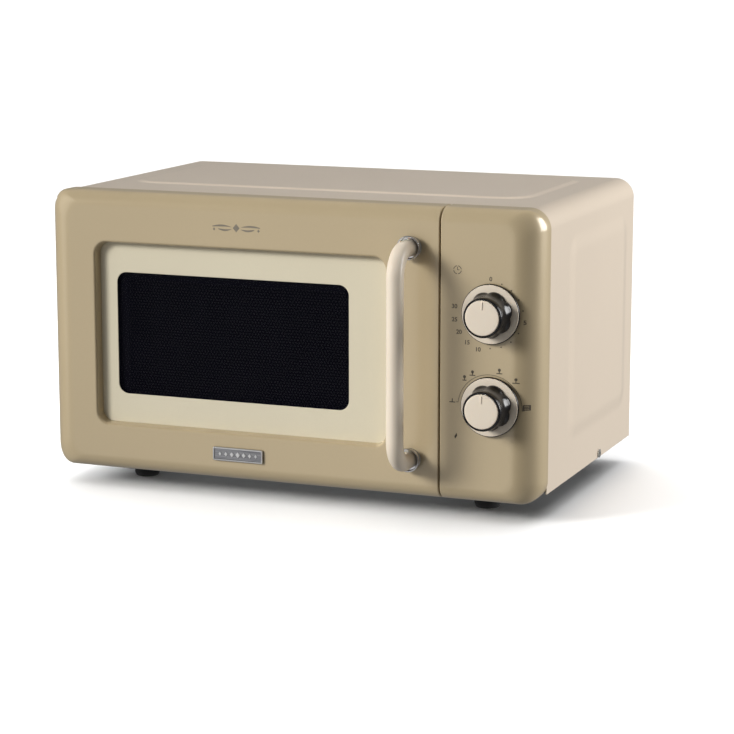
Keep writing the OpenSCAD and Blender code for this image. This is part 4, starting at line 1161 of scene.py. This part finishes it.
def coil_spring():
    """Return spring of the latch, with closed end turns."""
    wire = 0.45 * MM
    r = (spring_hi.x - spring_lo.x) / 2 - wire
    centre = middle((spring_lo, spring_hi))
    turns, steps = 6.5, 26
    count = int(turns * steps)
    low, high = spring_lo.z + wire, spring_hi.z - wire
    path = []
    for i in range(count + 1):
        t = i / count
        a = 2 * pi * turns * t
        rise = smoothstep(t) * 0.35 + t * 0.65
        x, y = centre.x + r * cos(a), centre.y + r * sin(a)
        path.append(Vector((x, y, low + (high - low) * rise)))
    bm = bmesh.new()
    tube(bm, path, wire, 10)
    tidy(bm)
    spring = piece("latch_return_spring", bm, "spring_steel", "door", ["latch_spring"], 60)
    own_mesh(spring)


# ---- carried-over nodes


def dress_nodes():
    """Gives every CAD node that still shows its slot's finish."""
    for part in frame["record"]["subparts"]:
        node = frame["nodes"][part["node"]]
        node.data.materials.clear()
        node.data.materials.append(MATERIALS[part["material_slot"]])


# ---- stage, lights, camera


def stage_floor():
    """Large plain pale floor that casts no light back on the object."""
    bm = bmesh.new()
    bmesh.ops.create_grid(bm, x_segments=8, y_segments=8, size=14.0)
    floor = add_object("studio_floor", to_mesh("studio_floor", bm), visible_diffuse=False,
                       visible_glossy=False)
    floor.data.shade_smooth()
    graph = finish("pale_studio_floor", (248, 248, 248), 0.7, (3, 0.003), (300, 0.002), 0.05, edge=0)
    floor.data.materials.append(graph.material)
    return floor


def softbox(name, place, aim, size, power, mirrored=True, spread=180):
    """Rectangular light at a place that shines towards aim. spread is its beam in degrees, and it shows
    in reflections only where mirrored is set."""
    light = with_settings(bpy.data.lights.new(name, "AREA"), spread=radians(spread), shape="RECTANGLE",
                          size=size[0], size_y=size[1], energy=power)
    turn = (Vector(aim) - Vector(place)).to_track_quat("-Z", "Y").to_euler()
    return add_object(name, light, location=place, rotation_euler=turn, visible_glossy=mirrored)


# How much light comes from all round, and the places where it differs: a direction, the cosines of the
# angles at which the change starts and is full, and the factor there.
GREY_LIGHT = 0.17
PATCHES = (((0.34, -0.93, -0.1), 0.82, 0.95, 0.15), ((-0.3, -0.94, -0.17), 0.92, 0.99, 4.8),
           ((-0.85, -0.5, 0.2), 0.9, 0.95, 6.0), ((0.0, 0.0, -1.0), 0.3, 0.8, 2.0))


def surroundings():
    """White for the camera. The light is grey all round, darker in front on the right, and brighter in
    front on the left, at the left and below."""
    world = bpy.data.worlds.new("studio")
    bpy.context.scene.world = world
    world.use_nodes = True
    seen = world.node_tree.nodes["Background"]
    seen.inputs["Color"].default_value = (1.0, 1.0, 1.0, 1.0)
    seen.inputs["Strength"].default_value = 1.1
    nodes = Nodes(world.node_tree)
    towards = nodes.add("TexCoord").outputs["Generated"]
    level = GREY_LIGHT
    for direction, least, most, kept in PATCHES:
        facing = nodes.add("VectorMath", {0: towards, 1: direction}, operation="DOT_PRODUCT")
        shade = nodes.span(facing.outputs["Value"], least, most, 1.0, kept, interpolation_type="SMOOTHSTEP")
        level = nodes.maths("MULTIPLY", shade, level)
    lit = nodes.add("Background", {"Color": (1.0, 0.99, 0.98, 1.0), "Strength": level}).outputs[0]
    camera_ray = nodes.add("LightPath").outputs["Is Camera Ray"]
    choice = nodes.add("MixShader", {"Fac": camera_ray, 1: lit, 2: seen.outputs[0]}).outputs[0]
    nodes.tree.links.new(choice, nodes.tree.nodes["World Output"].inputs["Surface"])


def receivers(name, floor, light, excluded=False):
    """Makes a light fall on the floor alone, or on everything but the floor."""
    group = bpy.data.collections.new(name)
    group.objects.link(floor)
    if excluded:
        group.collection_objects[0].light_linking.link_state = "EXCLUDE"
    light.light_linking.receiver_collection = group


def studio(floor):
    """Soft boxes on the left, the right and overhead, and a broad light on the floor alone."""
    surroundings()
    softbox("key_left", place=(-1.95, -2.15, 1.35), aim=(0.22, -0.13, 0.1), size=(1.2, 1.1), power=5.2,
            mirrored=False, spread=33)
    right = softbox("right_back", place=(2.1, 0.85, 0.8), aim=(0.1, 0, 0.13), size=(1.5, 1.4), power=64)
    softbox("overhead", place=(-0.2, 1.0, 1.6), aim=(0, 0, 0.2), size=(1.8, 0.6), power=11, mirrored=False)
    sun = with_settings(bpy.data.lights.new("floor_light", "SUN"), energy=3.3, angle=radians(110))
    above = add_object("floor_light", sun, rotation_euler=(radians(-14), radians(-16), 0))
    receivers("floor_only", floor, above)
    receivers("all_but_floor", floor, right, excluded=True)
    with_settings(bpy.context.scene.view_settings, view_transform="Standard", look="None", exposure=0.0,
                  gamma=1.0)


# The photograph's camera, solved from the object's proportions: its focal length for a 36 mm sensor, its
# place, and its tilt and turn in degrees.
LENS = 118.98
EYE = (0.8120, -1.9716, 0.4975)
TILT, TURN = 79.408, 21.719


def camera():
    data = with_settings(bpy.data.cameras.new("photo_view"), lens=LENS, sensor_width=36.0,
                         sensor_fit="HORIZONTAL", clip_start=0.05, clip_end=60.0)
    turn = (radians(TILT), 0.0, radians(TURN))
    bpy.context.scene.camera = add_object("photo_view", data, location=EYE, rotation_euler=turn)


camera()
studio(stage_floor())
dress_nodes()
door_moulding()
panel_moulding()
window_frame()
perforated_screen()
handle_bar()
ferrules()
badge_plate()
door_ornament()
for dial_name, dial_span in DIALS.items():
    dial(dial_name, dial_name + "_dial", dial_span)
timer_scale()
power_scale()
cabinet_wrap()
feet()
tray()
coil_spring()
